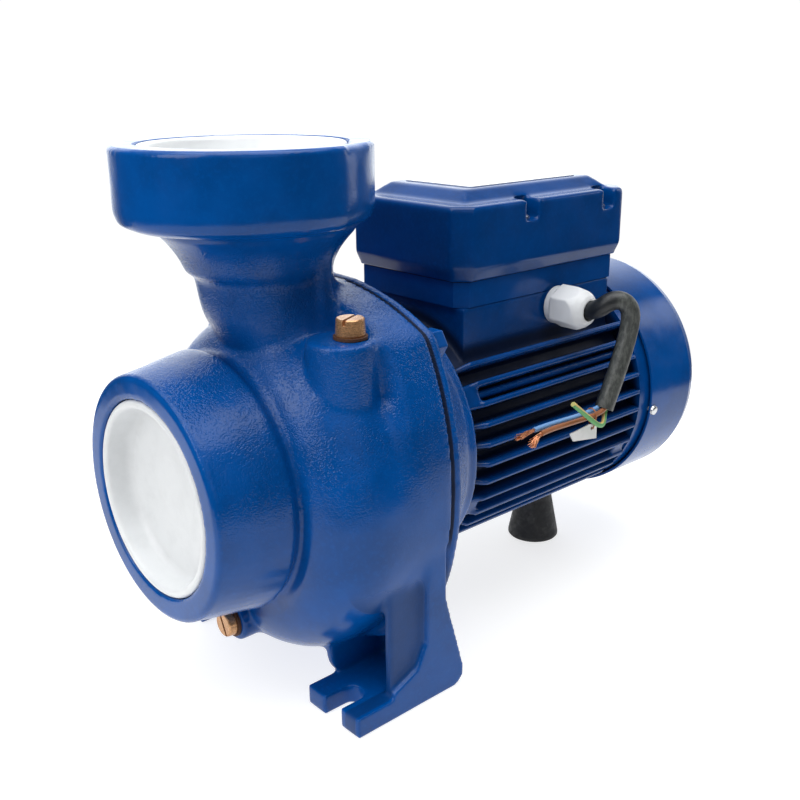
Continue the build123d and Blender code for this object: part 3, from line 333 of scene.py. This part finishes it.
def enamel(name, colour, grain, peel, edge=0.0, gloss=0.24, machined=False, shaded_gaps=False):
    """Glossy paint. grain is the depth of the sand-cast texture under it, peel that of the paint's own ripple.
    machined adds painted shade in the rim groove and the leg recesses, shaded_gaps painted shade between the fins.
    """
    paint = Finish(name)
    broad = paint.speckle(0.045, 3.0, 0.6)
    fine = paint.speckle(0.0025, 2.0, 0.6)
    tone = paint.blend(paint.spread(broad, 0.0, 1.0, 0.32, 0.68), scaled(colour, 0.82), scaled(colour, 1.10))
    tone = paint.blend(paint.spread(fine, 0.0, 0.35, 0.45, 0.75), tone, scaled(colour, 1.30))
    if edge:
        tone = paint.blend(paint.maths("MULTIPLY", paint.worn(0.53, 0.60), edge), tone, scaled(colour, 1.9))
    rough = paint.spread(paint.speckle(0.012, 3.0, 0.5), gloss, gloss + 0.09, 0.30, 0.75)
    if shaded_gaps:
        # painted shade between the fins: darker, rougher paint towards the frame's body
        deep = paint.spread(paint.round_shaft(), 1.0, 0.0, *FIN_DEPTH)
        tone = paint.blend(paint.maths("MULTIPLY", deep, 0.85), tone, FIN_GAP_SHADE)
        rough = paint.maths("ADD", rough, paint.maths("MULTIPLY", deep, 0.35))
    rest = 1.0
    if machined:
        # painted shade in the rim groove and the leg recesses: darker and rougher paint there
        shade_mask = painted_shade_places(paint)
        tone = paint.blend(paint.maths("MULTIPLY", shade_mask, 0.9), tone, GROOVE_SHADE)
        rough = paint.maths("ADD", rough, paint.maths("MULTIPLY", shade_mask, 0.40))
        flat = paint.maths("MAXIMUM", paint.beyond("Z", FACED_Z), paint.beyond("X", FACED_X, -1.0))
        rest = paint.maths("SUBTRACT", 1.0, flat)
        rough = paint.maths("SUBTRACT", rough, paint.maths("MULTIPLY", flat, 0.05))
    paint.set(base=tone, rough=rough, ior=1.5, specular=0.27)
    if edge == 0.0:
        paint.soften(0.0007)
    if peel:
        paint.relief(paint.maths("MULTIPLY", paint.speckle(0.0060, 1.0, 0.4), rest), peel)
    if grain:
        sand = paint.speckle(0.0014, 2.0, 0.55)
        pits = paint.spread(paint.cells(0.0012), 0.0, 1.0, 0.10, 0.60)
        patchy = paint.spread(paint.speckle(0.035, 2.0, 0.5), 0.45, 1.0, 0.38, 0.62)
        upper = paint.spread(paint.part_of("Z"), 0.12, 1.0, 0.100, 0.175)
        collar = paint.spread(paint.part_of("Z"), 1.0, 0.12, 0.252, 0.266)
        where = paint.maths("MULTIPLY", paint.maths("MULTIPLY", patchy, upper), paint.maths("MULTIPLY", collar, rest))
        paint.relief(paint.maths("MULTIPLY", sand, where), grain)
        paint.relief(paint.maths("MULTIPLY", pits, where), grain * 0.6)
    return paint.material


def plastic(name, colour, rough=0.38, subsurface=0.0, grain=0.00002, dirt=0.06, soft_edge=0.0004):
    """Moulded plastic with a fine texture and faint handling marks."""
    made = Finish(name)
    smudge = made.spread(made.speckle(0.014, 4.0, 0.6), 0.0, 1.0, 0.42, 0.75)
    made.set(base=made.blend(smudge, colour, scaled(colour, 1.0 - dirt)),
             rough=made.spread(made.speckle(0.006, 3.0), rough - 0.06, rough + 0.10, 0.3, 0.7))
    if subsurface:
        made.set(subsurface=subsurface)
        made.shader.inputs["Subsurface Radius"].default_value = (0.004, 0.004, 0.0035)
        made.shader.inputs["Subsurface Scale"].default_value = 1.0
    if soft_edge:
        made.soften(soft_edge)
    made.relief(made.speckle(0.0012, 2.0, 0.6), grain)
    return made.material


def rubber(name, colour, rough=0.55, bloom=0.25, grain=0.00005):
    """Rubber or soft PVC with a dusty bloom."""
    made = Finish(name)
    dust = made.spread(made.speckle(0.009, 4.0, 0.65), 0.0, bloom, 0.45, 0.8)
    made.set(base=made.blend(dust, colour, rgb(0.16, 0.155, 0.15)),
             rough=made.spread(made.speckle(0.004, 3.0), rough - 0.08, rough + 0.12, 0.3, 0.7), specular=0.4)
    made.soften(0.0006)
    made.relief(made.speckle(0.0016, 3.0, 0.6), grain)
    return made.material


def metal(name, colour, rough, brush=(1, 1, 1), brush_size=0.0012, depth=0.00001, stain=None, soft_edge=0.0003,
          bare=1.0):
    """Bare or plated metal. brush stretches the machining marks, stain is the colour of its tarnish."""
    made = Finish(name)
    marks = made.speckle(brush_size, 4.0, 0.6, made.stretched(brush))
    cloud = made.spread(made.speckle(0.007, 4.0, 0.6), 0.0, 1.0, 0.40, 0.72)
    base = made.blend(made.spread(marks, 0.0, 1.0, 0.35, 0.7), scaled(colour, 0.86), colour)
    base = made.blend(made.maths("MULTIPLY", cloud, 0.55), base, stain or scaled(colour, 0.6))
    made.set(base=base, metal=bare, rough=made.spread(marks, rough - 0.07, rough + 0.10, 0.3, 0.7))
    if soft_edge:
        made.soften(soft_edge)
    made.relief(marks, depth)
    return made.material


SHEET_THICKNESS = 0.0005


def laminations():
    """Stacked half-millimetre steel sheets."""
    made = Finish("lamination_steel")
    sheet = made.maths("FRACT", made.maths("MULTIPLY", made.part_of("X"), 1.0 / SHEET_THICKNESS))
    gap = made.spread(sheet, 0.0, 1.0, 0.0, 0.35)
    rust = made.spread(made.speckle(0.008, 4.0, 0.65), 0.0, 0.7, 0.5, 0.8)
    made.set(base=made.blend(rust, rgb(0.24, 0.24, 0.25), rgb(0.16, 0.10, 0.07)), metal=0.9, rough=0.42)
    made.relief(gap, 0.00006)
    return made.material


def windings():
    """Varnished copper wire, wound in bundles."""
    made = Finish("winding_wire")
    wire = made.speckle(0.0009, 2.0, 0.5, made.stretched((0.15, 1.0, 1.0)))
    share = made.spread(wire, 0.0, 1.0, 0.35, 0.65)
    made.set(base=made.blend(share, rgb(0.26, 0.075, 0.028), rgb(0.62, 0.24, 0.09)), metal=0.55, rough=0.32,
             coat=0.6, coat_rough=0.15)
    made.relief(wire, 0.0003)
    return made.material


def gasket_paper():
    """Fibre sheet: pressed fibres with dark flecks."""
    made = Finish("gasket_fibre")
    fibre = made.speckle(0.0011, 4.0, 0.7, distortion=1.5)
    share = made.spread(fibre, 0.0, 1.0, 0.3, 0.7)
    made.set(base=made.blend(share, rgb(0.012, 0.013, 0.015), rgb(0.05, 0.05, 0.055)), rough=0.85, specular=0.25)
    made.relief(fibre, 0.00012)
    return made.material


def washer_fibre():
    """Red-brown vulcanised fibre."""
    made = Finish("washer_fibre")
    fibre = made.speckle(0.0008, 4.0, 0.7, made.stretched((1, 1, 3)))
    share = made.spread(fibre, 0.0, 1.0, 0.3, 0.7)
    made.set(base=made.blend(share, rgb(0.045, 0.022, 0.014), rgb(0.13, 0.055, 0.03)), rough=0.7, specular=0.3)
    made.soften(0.0003)
    made.relief(fibre, 0.00006)
    return made.material


def circuit_board(name, colour):
    """A phenolic terminal board with its weave showing through."""
    made = Finish(name)
    weave = made.maths("MULTIPLY", made.speckle(0.0007, 1.0, 0.4, made.stretched((1, 6, 1))),
                       made.speckle(0.0007, 1.0, 0.4, made.stretched((6, 1, 1))))
    share = made.spread(weave, 0.0, 1.0, 0.15, 0.4)
    made.set(base=made.blend(share, scaled(colour, 0.75), scaled(colour, 1.2)), rough=0.45)
    made.soften(0.0003)
    made.relief(weave, 0.00004)
    return made.material


def label_foil():
    """A blank satin label: metallised film with a faint dust."""
    made = Finish("label_foil")
    grain = made.speckle(0.0006, 2.0, 0.5, made.stretched((0.08, 1.0, 1.0)))
    dust = made.spread(made.speckle(0.010, 4.0, 0.6), 0.0, 0.5, 0.5, 0.8)
    made.set(base=made.blend(dust, rgb(0.80, 0.81, 0.82), rgb(0.62, 0.62, 0.60)), metal=0.25,
             rough=made.spread(grain, 0.28, 0.42, 0.3, 0.7))
    made.soften(0.0003)
    made.relief(grain, 0.000012)
    return made.material


STRIPE_TWIST, STRIPE_START = 0.05, 0.76   # turns in a centimetre, and where the stripe begins round the core


def striped_core():
    """Green PVC with a yellow stripe along it, in a slow twist."""
    made = Finish("core_green_yellow")
    across = made.add("ShaderNodeSeparateXYZ", {0: made.add("ShaderNodeUVMap", uv_map="along").outputs[0]})
    turned = made.maths("ADD", across.outputs[0], made.maths("MULTIPLY", across.outputs[1], STRIPE_TWIST))
    phase = made.maths("FRACT", made.maths("ADD", turned, STRIPE_START))
    from_green = made.maths("ABSOLUTE", made.maths("SUBTRACT", phase, 0.5))
    stripe = made.spread(from_green, 0.0, 1.0, 0.235, 0.275)
    made.set(base=made.blend(stripe, rgb(0.085, 0.33, 0.090), rgb(0.60, 0.44, 0.15)), rough=0.42)
    made.relief(made.speckle(0.0012, 2.0, 0.6), 0.00003)
    return made.material


CABLE_CLEAR_Y = -0.0990   # past this the cable hangs free, and its sheath is painted grey there as a painted highlight


def cable_sheath():
    """Black PVC, painted grey where the cable hangs clear of the gland: a painted highlight of the lit stretch,
    patchy with noise.
    """
    made = Finish("cable_pvc")
    clear = made.beyond("Y", CABLE_CLEAR_Y, -1.0, 0.0022)
    patchy = made.spread(made.speckle(0.0016, 4.0, 0.7, made.stretched((1, 1, 0.35))), 0.35, 1.0, 0.38, 0.66)
    # painted highlight: grey on the free stretch, broken up by noise
    share = made.maths("MULTIPLY", clear, patchy)
    made.set(base=made.blend(share, rgb(0.006, 0.008, 0.010), rgb(0.090, 0.096, 0.088)),
             rough=made.spread(made.speckle(0.004, 3.0), 0.34, 0.50, 0.3, 0.7), specular=0.5)
    made.relief(made.speckle(0.0016, 3.0, 0.6), 0.00006)
    return made.material


FINISHES = {
    "blue_cast": enamel("cast_iron_enamel", BLUE, grain=0.00030, peel=0.00006, edge=0.25, gloss=0.17, machined=True),
    "blue_frame": enamel("frame_enamel", BLUE_DEEP, grain=0.00005, peel=0.00008, edge=0.20, gloss=0.18,
                         shaded_gaps=True),
    "blue_box": enamel("box_enamel", BLUE_DEEP, grain=0.0, peel=0.00005, edge=0.18, gloss=0.16),
    "blue_sheet": enamel("sheet_enamel", BLUE, grain=0.0, peel=0.00004, gloss=0.14),
    "painted_bolt": enamel("bolt_enamel", BLUE, grain=0.00004, peel=0.00004, edge=0.3, gloss=0.22),
    "white_plastic": plastic("white_polyethylene", rgb(0.74, 0.755, 0.765), rough=0.34, subsurface=0.03,
                             grain=0.000015, soft_edge=0.0),
    "brass": metal("machined_brass", rgb(0.66, 0.36, 0.17), 0.27, (1, 1, 8), 0.0015, 0.00002, rgb(0.40, 0.18, 0.08),
                   bare=0.62),
    "fibre_washer": washer_fibre(),
    "black_rubber": rubber("black_rubber", rgb(0.010, 0.011, 0.013)),
    "gasket": gasket_paper(),
    "steel": metal("ground_steel", rgb(0.56, 0.57, 0.58), 0.28, (12, 1, 1), 0.0012, 0.000008, rgb(0.40, 0.38, 0.35)),
    "zinc_steel": metal("zinc_plate", rgb(0.68, 0.69, 0.70), 0.30, (1, 1, 1), 0.0016, 0.00001, rgb(0.46, 0.46, 0.47)),
    "carbon": metal("carbon_face", rgb(0.06, 0.06, 0.065), 0.40, (1, 1, 1), 0.0008, 0.000004),
    "ceramic": plastic("ceramic_seat", rgb(0.78, 0.76, 0.70), rough=0.22, grain=0.000004, dirt=0.03),
    "lamination": laminations(),
    "aluminium": metal("cast_aluminium", rgb(0.72, 0.73, 0.74), 0.38, (1, 1, 1), 0.0020, 0.00004,
                       rgb(0.48, 0.48, 0.49)),
    "copper": windings(),
    "fan_plastic": plastic("fan_polypropylene", rgb(0.018, 0.018, 0.020), rough=0.42, dirt=0.3),
    "board": circuit_board("terminal_phenolic", rgb(0.17, 0.075, 0.030)),
    "capacitor": plastic("capacitor_case", rgb(0.70, 0.70, 0.69), rough=0.34),
    "nameplate": label_foil(),
    "cable_sheath": cable_sheath(),
    "core_brown": plastic("core_pvc_brown", rgb(0.30, 0.105, 0.038), rough=0.38, soft_edge=0.0),
    "core_blue": plastic("core_pvc_blue", rgb(0.16, 0.33, 0.62), rough=0.38, soft_edge=0.0),
    "core_earth": striped_core(),
    "tag": plastic("tag_paper", rgb(0.80, 0.80, 0.79), rough=0.5, dirt=0.1, soft_edge=0.0),
}


def dress(piece, slot):
    """Give a piece one slot's finish."""
    piece.data.materials.clear()
    piece.data.materials.append(FINISHES[slot])
    return piece


for node_name, node in frame["nodes"].items():
    dress(node, SLOT_OF[node_name])


# ================================================================ mesh helpers
def read_points(mesh):
    points = np.empty(len(mesh.vertices) * 3)
    mesh.vertices.foreach_get("co", points)
    return points.reshape(-1, 3)


def write_points(mesh, points):
    mesh.vertices.foreach_set("co", points.astype(np.float32).ravel())
    mesh.update()


def relax(mesh, rounds, weight):
    """Smooth the mesh: each round moves a vertex towards its neighbours by its weight."""
    points = read_points(mesh)
    count = len(points)
    ends = np.empty(len(mesh.edges) * 2, np.int64)
    mesh.edges.foreach_get("vertices", ends)
    a, b = ends.reshape(-1, 2).T
    degree = np.maximum(np.bincount(a, minlength=count) + np.bincount(b, minlength=count), 1)
    share = np.clip(weight(points), 0.0, 1.0)[:, None] * 0.6
    for _ in range(rounds):
        mean = np.empty_like(points)
        for axis in range(3):
            around = np.bincount(a, points[b, axis], count) + np.bincount(b, points[a, axis], count)
            mean[:, axis] = around / degree
        points += share * (mean - points)
    write_points(mesh, points)


def step(value, start, end):
    """0 before start, 1 after end, smooth between. Start may be the larger."""
    t = np.clip((value - start) / (end - start), 0.0, 1.0)
    return t * t * (3.0 - 2.0 * t)


def skin_of(node_name, voxel, name):
    """A closed, evenly meshed copy of a CAD node, ready for smoothing."""
    source = frame["nodes"][node_name]
    raw = bmesh.new()
    raw.from_mesh(source.data)
    bmesh.ops.remove_doubles(raw, verts=raw.verts, dist=1e-6)
    mesh = bpy.data.meshes.new(name)
    raw.to_mesh(mesh)
    raw.free()
    shell = put_in_scene(name, mesh)
    remesh = shell.modifiers.new("even", "REMESH")
    remesh.mode, remesh.voxel_size, remesh.use_smooth_shade = "VOXEL", voxel, True
    made = bpy.data.meshes.new_from_object(shell.evaluated_get(bpy.context.evaluated_depsgraph_get()))
    made.name = name
    shell.modifiers.clear()
    shell.data = made
    for face in made.polygons:
        face.use_smooth = True
    return shell


def stand_for(piece, node_name):
    """Finish a piece that replaces one CAD node: its body, slot and material."""
    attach(piece, frame["nodes"][node_name]["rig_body"])
    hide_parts(node_name)
    return dress(piece, SLOT_OF[node_name])


# ================================================================ cords
CABLE_WIDTH, CORE_WIDTH, TIE_WIDTH = 0.0120, 0.0032, 0.0009
WIRES, WIRE_RADIUS, GOLDEN_TURN = 34, 0.00021, 2.4   # bare strands in a core, and the turn from one to the next
CABLE_ROUTE = [
    (0.204, -0.071, 0.1995), (0.204, -0.0795, 0.1999), (0.2044, -0.086, 0.2024), (0.2062, -0.0906, 0.2066),
    (0.2096, -0.095, 0.2088), (0.2131, -0.099, 0.2074), (0.2155, -0.1017, 0.2024), (0.2156, -0.1022, 0.194),
    (0.2126, -0.102, 0.183), (0.2082, -0.1018, 0.1715), (0.2036, -0.1016, 0.161), (0.1988, -0.1014, 0.151),
    (0.1942, -0.1012, 0.1416),
]
BROWN_ROUTE = [
    (0.1934, -0.1032, 0.1432), (0.1906, -0.1035, 0.1416), (0.184, -0.1037, 0.1407), (0.176, -0.1036, 0.1406),
    (0.165, -0.1035, 0.1408), (0.153, -0.1034, 0.1412), (0.141, -0.1033, 0.1417), (0.131, -0.1032, 0.141),
]
BLUE_ROUTE = [
    (0.1938, -0.0996, 0.144), (0.191, -0.0998, 0.1429), (0.184, -0.100, 0.1422), (0.174, -0.100, 0.1419),
    (0.163, -0.100, 0.1422), (0.151, -0.100, 0.1428), (0.139, -0.100, 0.1432), (0.128, -0.100, 0.1432),
]
EARTH_ROUTE = [
    (0.1954, -0.1013, 0.1424), (0.1926, -0.1032, 0.1374), (0.1874, -0.1064, 0.1334), (0.1804, -0.1078, 0.1352),
    (0.170, -0.1079, 0.143), (0.1544, -0.1076, 0.1552),
]


def cord_curve(name, route, width):
    """A cord's own line: a NURBS spline through space with the route as its control points."""
    data = bpy.data.curves.new(name, "CURVE")
    data.dimensions = "3D"
    spline = data.splines.new("NURBS")
    spline.points.add(len(route) - 1)
    for point, place in zip(spline.points, route):
        point.co = (*place, 1.0)
        point.radius = width / 2
    spline.order_u = 3
    spline.use_endpoint_u = True
    spline.resolution_u = 16
    data.bevel_depth = 1.0 if width else 0.0
    data.bevel_resolution = 6
    data.use_fill_caps = True
    return put_in_scene(name, data)


def line_of(name, route):
    """Points along a route's smooth line."""
    guide = cord_curve(name, route, 0.0)
    mesh = bpy.data.meshes.new_from_object(guide.evaluated_get(bpy.context.evaluated_depsgraph_get()))
    points = [vertex.co.copy() for vertex in mesh.vertices]
    bpy.data.objects.remove(guide)
    bpy.data.meshes.remove(mesh)
    return points


def mesh_tube(name, line, width, sides=20):
    """A tube along a line with closed ends and an "along" UV map: once round in U, centimetres in V."""
    made = bmesh.new()
    uv = made.loops.layers.uv.new("along")
    side = Vector((0, 0, 1))
    rings, run, lengths = [], 0.0, []
    for i, place in enumerate(line):
        ahead = (line[min(i + 1, len(line) - 1)] - line[max(i - 1, 0)]).normalized()
        side = (side - side.dot(ahead) * ahead).normalized()
        other = ahead.cross(side)
        if i:
            run += (place - line[i - 1]).length
        lengths.append(run / 0.01)
        rings.append([made.verts.new(place + width / 2 * (math.cos(t) * side + math.sin(t) * other))
                      for t in (2 * math.pi * k / sides for k in range(sides))])
    for i, (near, far) in enumerate(zip(rings, rings[1:])):
        for k in range(sides):
            face = made.faces.new((near[k], near[(k + 1) % sides], far[(k + 1) % sides], far[k]))
            face.smooth = True
            for loop, (u, v) in zip(face.loops, ((k, i), (k + 1, i), (k + 1, i + 1), (k, i + 1))):
                loop[uv].uv = (u / sides, lengths[v])
    made.faces.new(list(reversed(rings[0])))
    made.faces.new(rings[-1])
    mesh = bpy.data.meshes.new(name)
    made.to_mesh(mesh)
    made.free()
    return put_in_scene(name, mesh)


def strand_bundle(name, tips):
    """Frayed copper: fine wires that fan out of each core's end. tips: end, direction, length, fan and lean."""
    data = bpy.data.curves.new(name, "CURVE")
    data.dimensions = "3D"
    data.bevel_depth, data.bevel_resolution, data.use_fill_caps = 1.0, 2, True
    for end, ahead, length, fan, lean in tips:
        side = ahead.cross(Vector((0, 0, 1))).normalized()
        other = ahead.cross(side)
        for wire in range(WIRES):
            ring = math.sqrt(wire / (WIRES - 1))
            angle = GOLDEN_TURN * wire
            out = (math.cos(angle) * side + math.sin(angle) * other) * ring
            twist = (math.cos(angle + 0.8) * side + math.sin(angle + 0.8) * other) * ring
            reach = length * (0.86 + 0.14 * math.cos(5.1 * wire))
            spline = data.splines.new("NURBS")
            spline.points.add(3)
            for point, place in zip(spline.points, (
                end - ahead * 0.001 + out * 0.0010,
                end + ahead * reach * 0.30 + twist * 0.0012 + lean * 0.15,
                end + ahead * reach * 0.65 + twist * fan * 0.75 + lean * 0.5,
                end + ahead * reach + out * fan * (0.8 + 0.3 * math.sin(3.7 * wire)) + lean,
            )):
                point.co = (*place, 1.0)
                point.radius = WIRE_RADIUS
            spline.order_u = 3
            spline.use_endpoint_u = True
            spline.resolution_u = 6
    return put_in_scene(name, data)


cable = stand_for(cord_curve("supply_cable", CABLE_ROUTE, CABLE_WIDTH), "power_cable")
brown = stand_for(cord_curve("brown_core", BROWN_ROUTE, CORE_WIDTH), "core_brown")
blue = stand_for(cord_curve("blue_core", BLUE_ROUTE, CORE_WIDTH), "core_blue")
earth_line = line_of("earth_guide", EARTH_ROUTE)
earth = stand_for(mesh_tube("earth_core", earth_line, CORE_WIDTH), "core_earth")

strand_tips = []
for route, length, fan, lean in ((BROWN_ROUTE, 0.0095, 0.0032, Vector((0, -0.0006, -0.0042))),
                                 (BLUE_ROUTE, 0.0165, 0.0021, Vector((0, -0.0008, -0.0010)))):
    tip, before = Vector(route[-1]), Vector(route[-2])
    strand_tips.append((tip, (tip - before).normalized(), length, fan, lean))
strands = stand_for(strand_bundle("frayed_strands", strand_tips), "copper_strands")
bright_copper = metal("bare_copper", rgb(0.86, 0.40, 0.21), 0.30, (1, 1, 1), 0.001, 0.000004,
                      rgb(0.50, 0.20, 0.09), 0.0)
strands.data.materials.clear()
strands.data.materials.append(bright_copper)

# the thread that ties the tag to the cores
TIE_ROUTE = [
    (0.1785, -0.1052, 0.1325), (0.1798, -0.1062, 0.1372), (0.1812, -0.1054, 0.1428), (0.1815, -0.1010, 0.1452),
    (0.1810, -0.0978, 0.1424), (0.1800, -0.0990, 0.1384), (0.1790, -0.1028, 0.1350), (0.1785, -0.1044, 0.1325),
]
tie = cord_curve("tag_tie", TIE_ROUTE, TIE_WIDTH)
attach(tie, BODY)
dress(tie, "core_brown")


# ================================================================ cast skins
def from_shaft(points):
    return np.hypot(points[:, 1], points[:, 2] - SHAFT_Z)


def from_discharge(points):
    return np.hypot(points[:, 0], points[:, 1])


def casing_edges(points):
    """All cast edges a little; nothing in the threads and on the machined rear face."""
    x, z = points[:, 0], points[:, 2]
    free = np.ones(len(points))
    free[(from_shaft(points) < THREAD_R) & (x < -0.044)] = 0.0
    free[(from_discharge(points) < THREAD_R) & (z > 0.283)] = 0.0
    free[(x > 0.0512) & ((np.abs(points[:, 1]) < 0.0887) | (z > 0.095))] = 0.0
    free *= 1.0 - 0.85 * np.maximum(step(x, -0.068, -0.071), step(z, 0.307, 0.310))
    free *= 0.55 + 0.45 * step(z, 0.09, 0.12)
    return free


def casing_blends(points):
    """Wide fillets where the neck, the spiral body and the bosses run into each other."""
    x, z = points[:, 0], points[:, 2]
    r = from_shaft(points)
    low = 0.6 * step(np.abs(points[:, 1]), 0.058, 0.048) * step(x, -0.019, -0.008)
    body = np.maximum(step(z, 0.070, 0.100) * step(x, -0.040, -0.030), low) * step(x, 0.0475, 0.040)
    neck = step(z, 0.283, 0.272)
    outside = step(r, 0.080, 0.088)
    boss = step(np.hypot(x - 0.0106, points[:, 1] + 0.067), 0.0245, 0.0215) * step(z, 0.158, 0.172)
    under_collar = step(z, 0.232, 0.241)
    gusset = step(z, 0.213, 0.222) * step(x, 0.008, 0.013) * step(points[:, 1], -0.026, -0.032)
    return body * neck * outside * (1.0 - 0.93 * boss) * (1.0 - 0.75 * under_collar) * (1.0 - 0.75 * gusset)


def rim_round(points):
    """The bolting rim's front corner is broadly rounded."""
    x = points[:, 0]
    r = from_shaft(points)
    leg = step(np.abs(points[:, 1]), 0.050, 0.055) * step(points[:, 2], 0.106, 0.096)
    return step(x, 0.016, 0.020) * step(x, 0.040, 0.030) * step(r, 0.100, 0.106) * (1.0 - leg)


SWELL_SIZE = 0.016


def hand_cast(mesh, depth, size, free):
    """Low swells of an iron casting, a fraction of a millimetre deep."""
    points = read_points(mesh)
    normals = np.empty(len(points) * 3, np.float32)
    mesh.vertex_normals.foreach_get("vector", normals)
    swell = np.array([noise.noise(Vector(p) / size) for p in points])
    write_points(mesh, points + (normals.reshape(-1, 3) * ((swell - 0.6) * depth * free(points))[:, None]))


casing = stand_for(skin_of("volute_casing", 0.0012, "cast_volute"), "volute_casing")
relax(casing.data, 7, casing_edges)
relax(casing.data, 55, casing_blends)
relax(casing.data, 40, rim_round)
hand_cast(casing.data, 0.00025, SWELL_SIZE, casing_edges)



def bracket_skin(points):
    """The bracket's outside, behind its joint with the casing."""
    return (from_shaft(points) > 0.070) * (points[:, 0] > 0.0535) * 1.0


bracket = stand_for(skin_of("motor_bracket", 0.0013, "cast_bracket"), "motor_bracket")
relax(bracket.data, 6, bracket_skin)
hand_cast(bracket.data, 0.00020, SWELL_SIZE, bracket_skin)

finned = stand_for(skin_of("motor_frame", 0.0010, "cast_frame"), "motor_frame")
relax(finned.data, 6, lambda points: (from_shaft(points) > 0.0665) * 1.0)

lid = stand_for(skin_of("terminal_box_cover", 0.0010, "box_lid"), "terminal_box_cover")
relax(lid.data, 10, lambda points: (points[:, 2] > 0.2265) * 1.0)


# ================================================================ thread caps
def arc(centre, radius, start, end, steps):
    """Points on an arc, angles in degrees; the plane is (radius from the axis, depth from the mouth)."""
    return [(centre[0] + radius * math.cos(math.radians(start + (end - start) * i / steps)),
             centre[1] + radius * math.sin(math.radians(start + (end - start) * i / steps)))
            for i in range(steps + 1)]


CAP_SIDES = 144


def thread_cap(name, node_name, mouth, inward):
    """A dished plug cap turned about the port's axis: rounded rim, sloping wall and a shallow floor."""
    rim = arc((53.4, 2.9), 2.7, 0, -180, 14)
    wall = arc((42.5, 9.0), 6.5, 12, 70, 8)
    floor = [(34, 16.0), (22, 16.6), (19.6, 16.3), (18.4, 16.7), (8, 17.0), (0.0, 17.1)]
    profile = [(0.0, 20.0), (54.6, 20.0), (55.6, 19.0), (56.1, 4.0)] + rim + wall + floor
    axis = Vector(inward)
    side = axis.orthogonal().normalized()
    other = axis.cross(side)
    made = bmesh.new()
    rings = []
    for radius, depth in profile:
        middle = Vector(mouth) + axis * depth * MM
        if radius == 0.0:
            rings.append([made.verts.new(middle)])
        else:
            rings.append([made.verts.new(middle + radius * MM * (math.cos(t) * side + math.sin(t) * other))
                          for t in (2 * math.pi * k / CAP_SIDES for k in range(CAP_SIDES))])
    for near, far in zip(rings, rings[1:]):
        for k in range(CAP_SIDES):
            j = (k + 1) % CAP_SIDES
            corners = [near[k % len(near)], near[j % len(near)], far[j % len(far)], far[k % len(far)]]
            face = made.faces.new(list(dict.fromkeys(corners)))
            face.smooth = True
    bmesh.ops.recalc_face_normals(made, faces=made.faces)
    mesh = bpy.data.meshes.new(name)
    made.to_mesh(mesh)
    made.free()
    return stand_for(put_in_scene(name, mesh), node_name)


thread_cap("suction_dish_cap", "suction_thread_cap", (SUCTION_MOUTH_X, 0.0, SHAFT_Z), (1, 0, 0))
thread_cap("discharge_dish_cap", "discharge_thread_cap", (0.0, 0.0, DISCHARGE_MOUTH_Z), (0, 0, -1))

# ================================================================ small worn pieces
for node_name, rounds in (("gland_nut", 2), ("bracket_bolts", 5)):
    skin = stand_for(skin_of(node_name, 0.0005, node_name + "_soft"), node_name)
    relax(skin.data, rounds, lambda points: np.ones(len(points)))
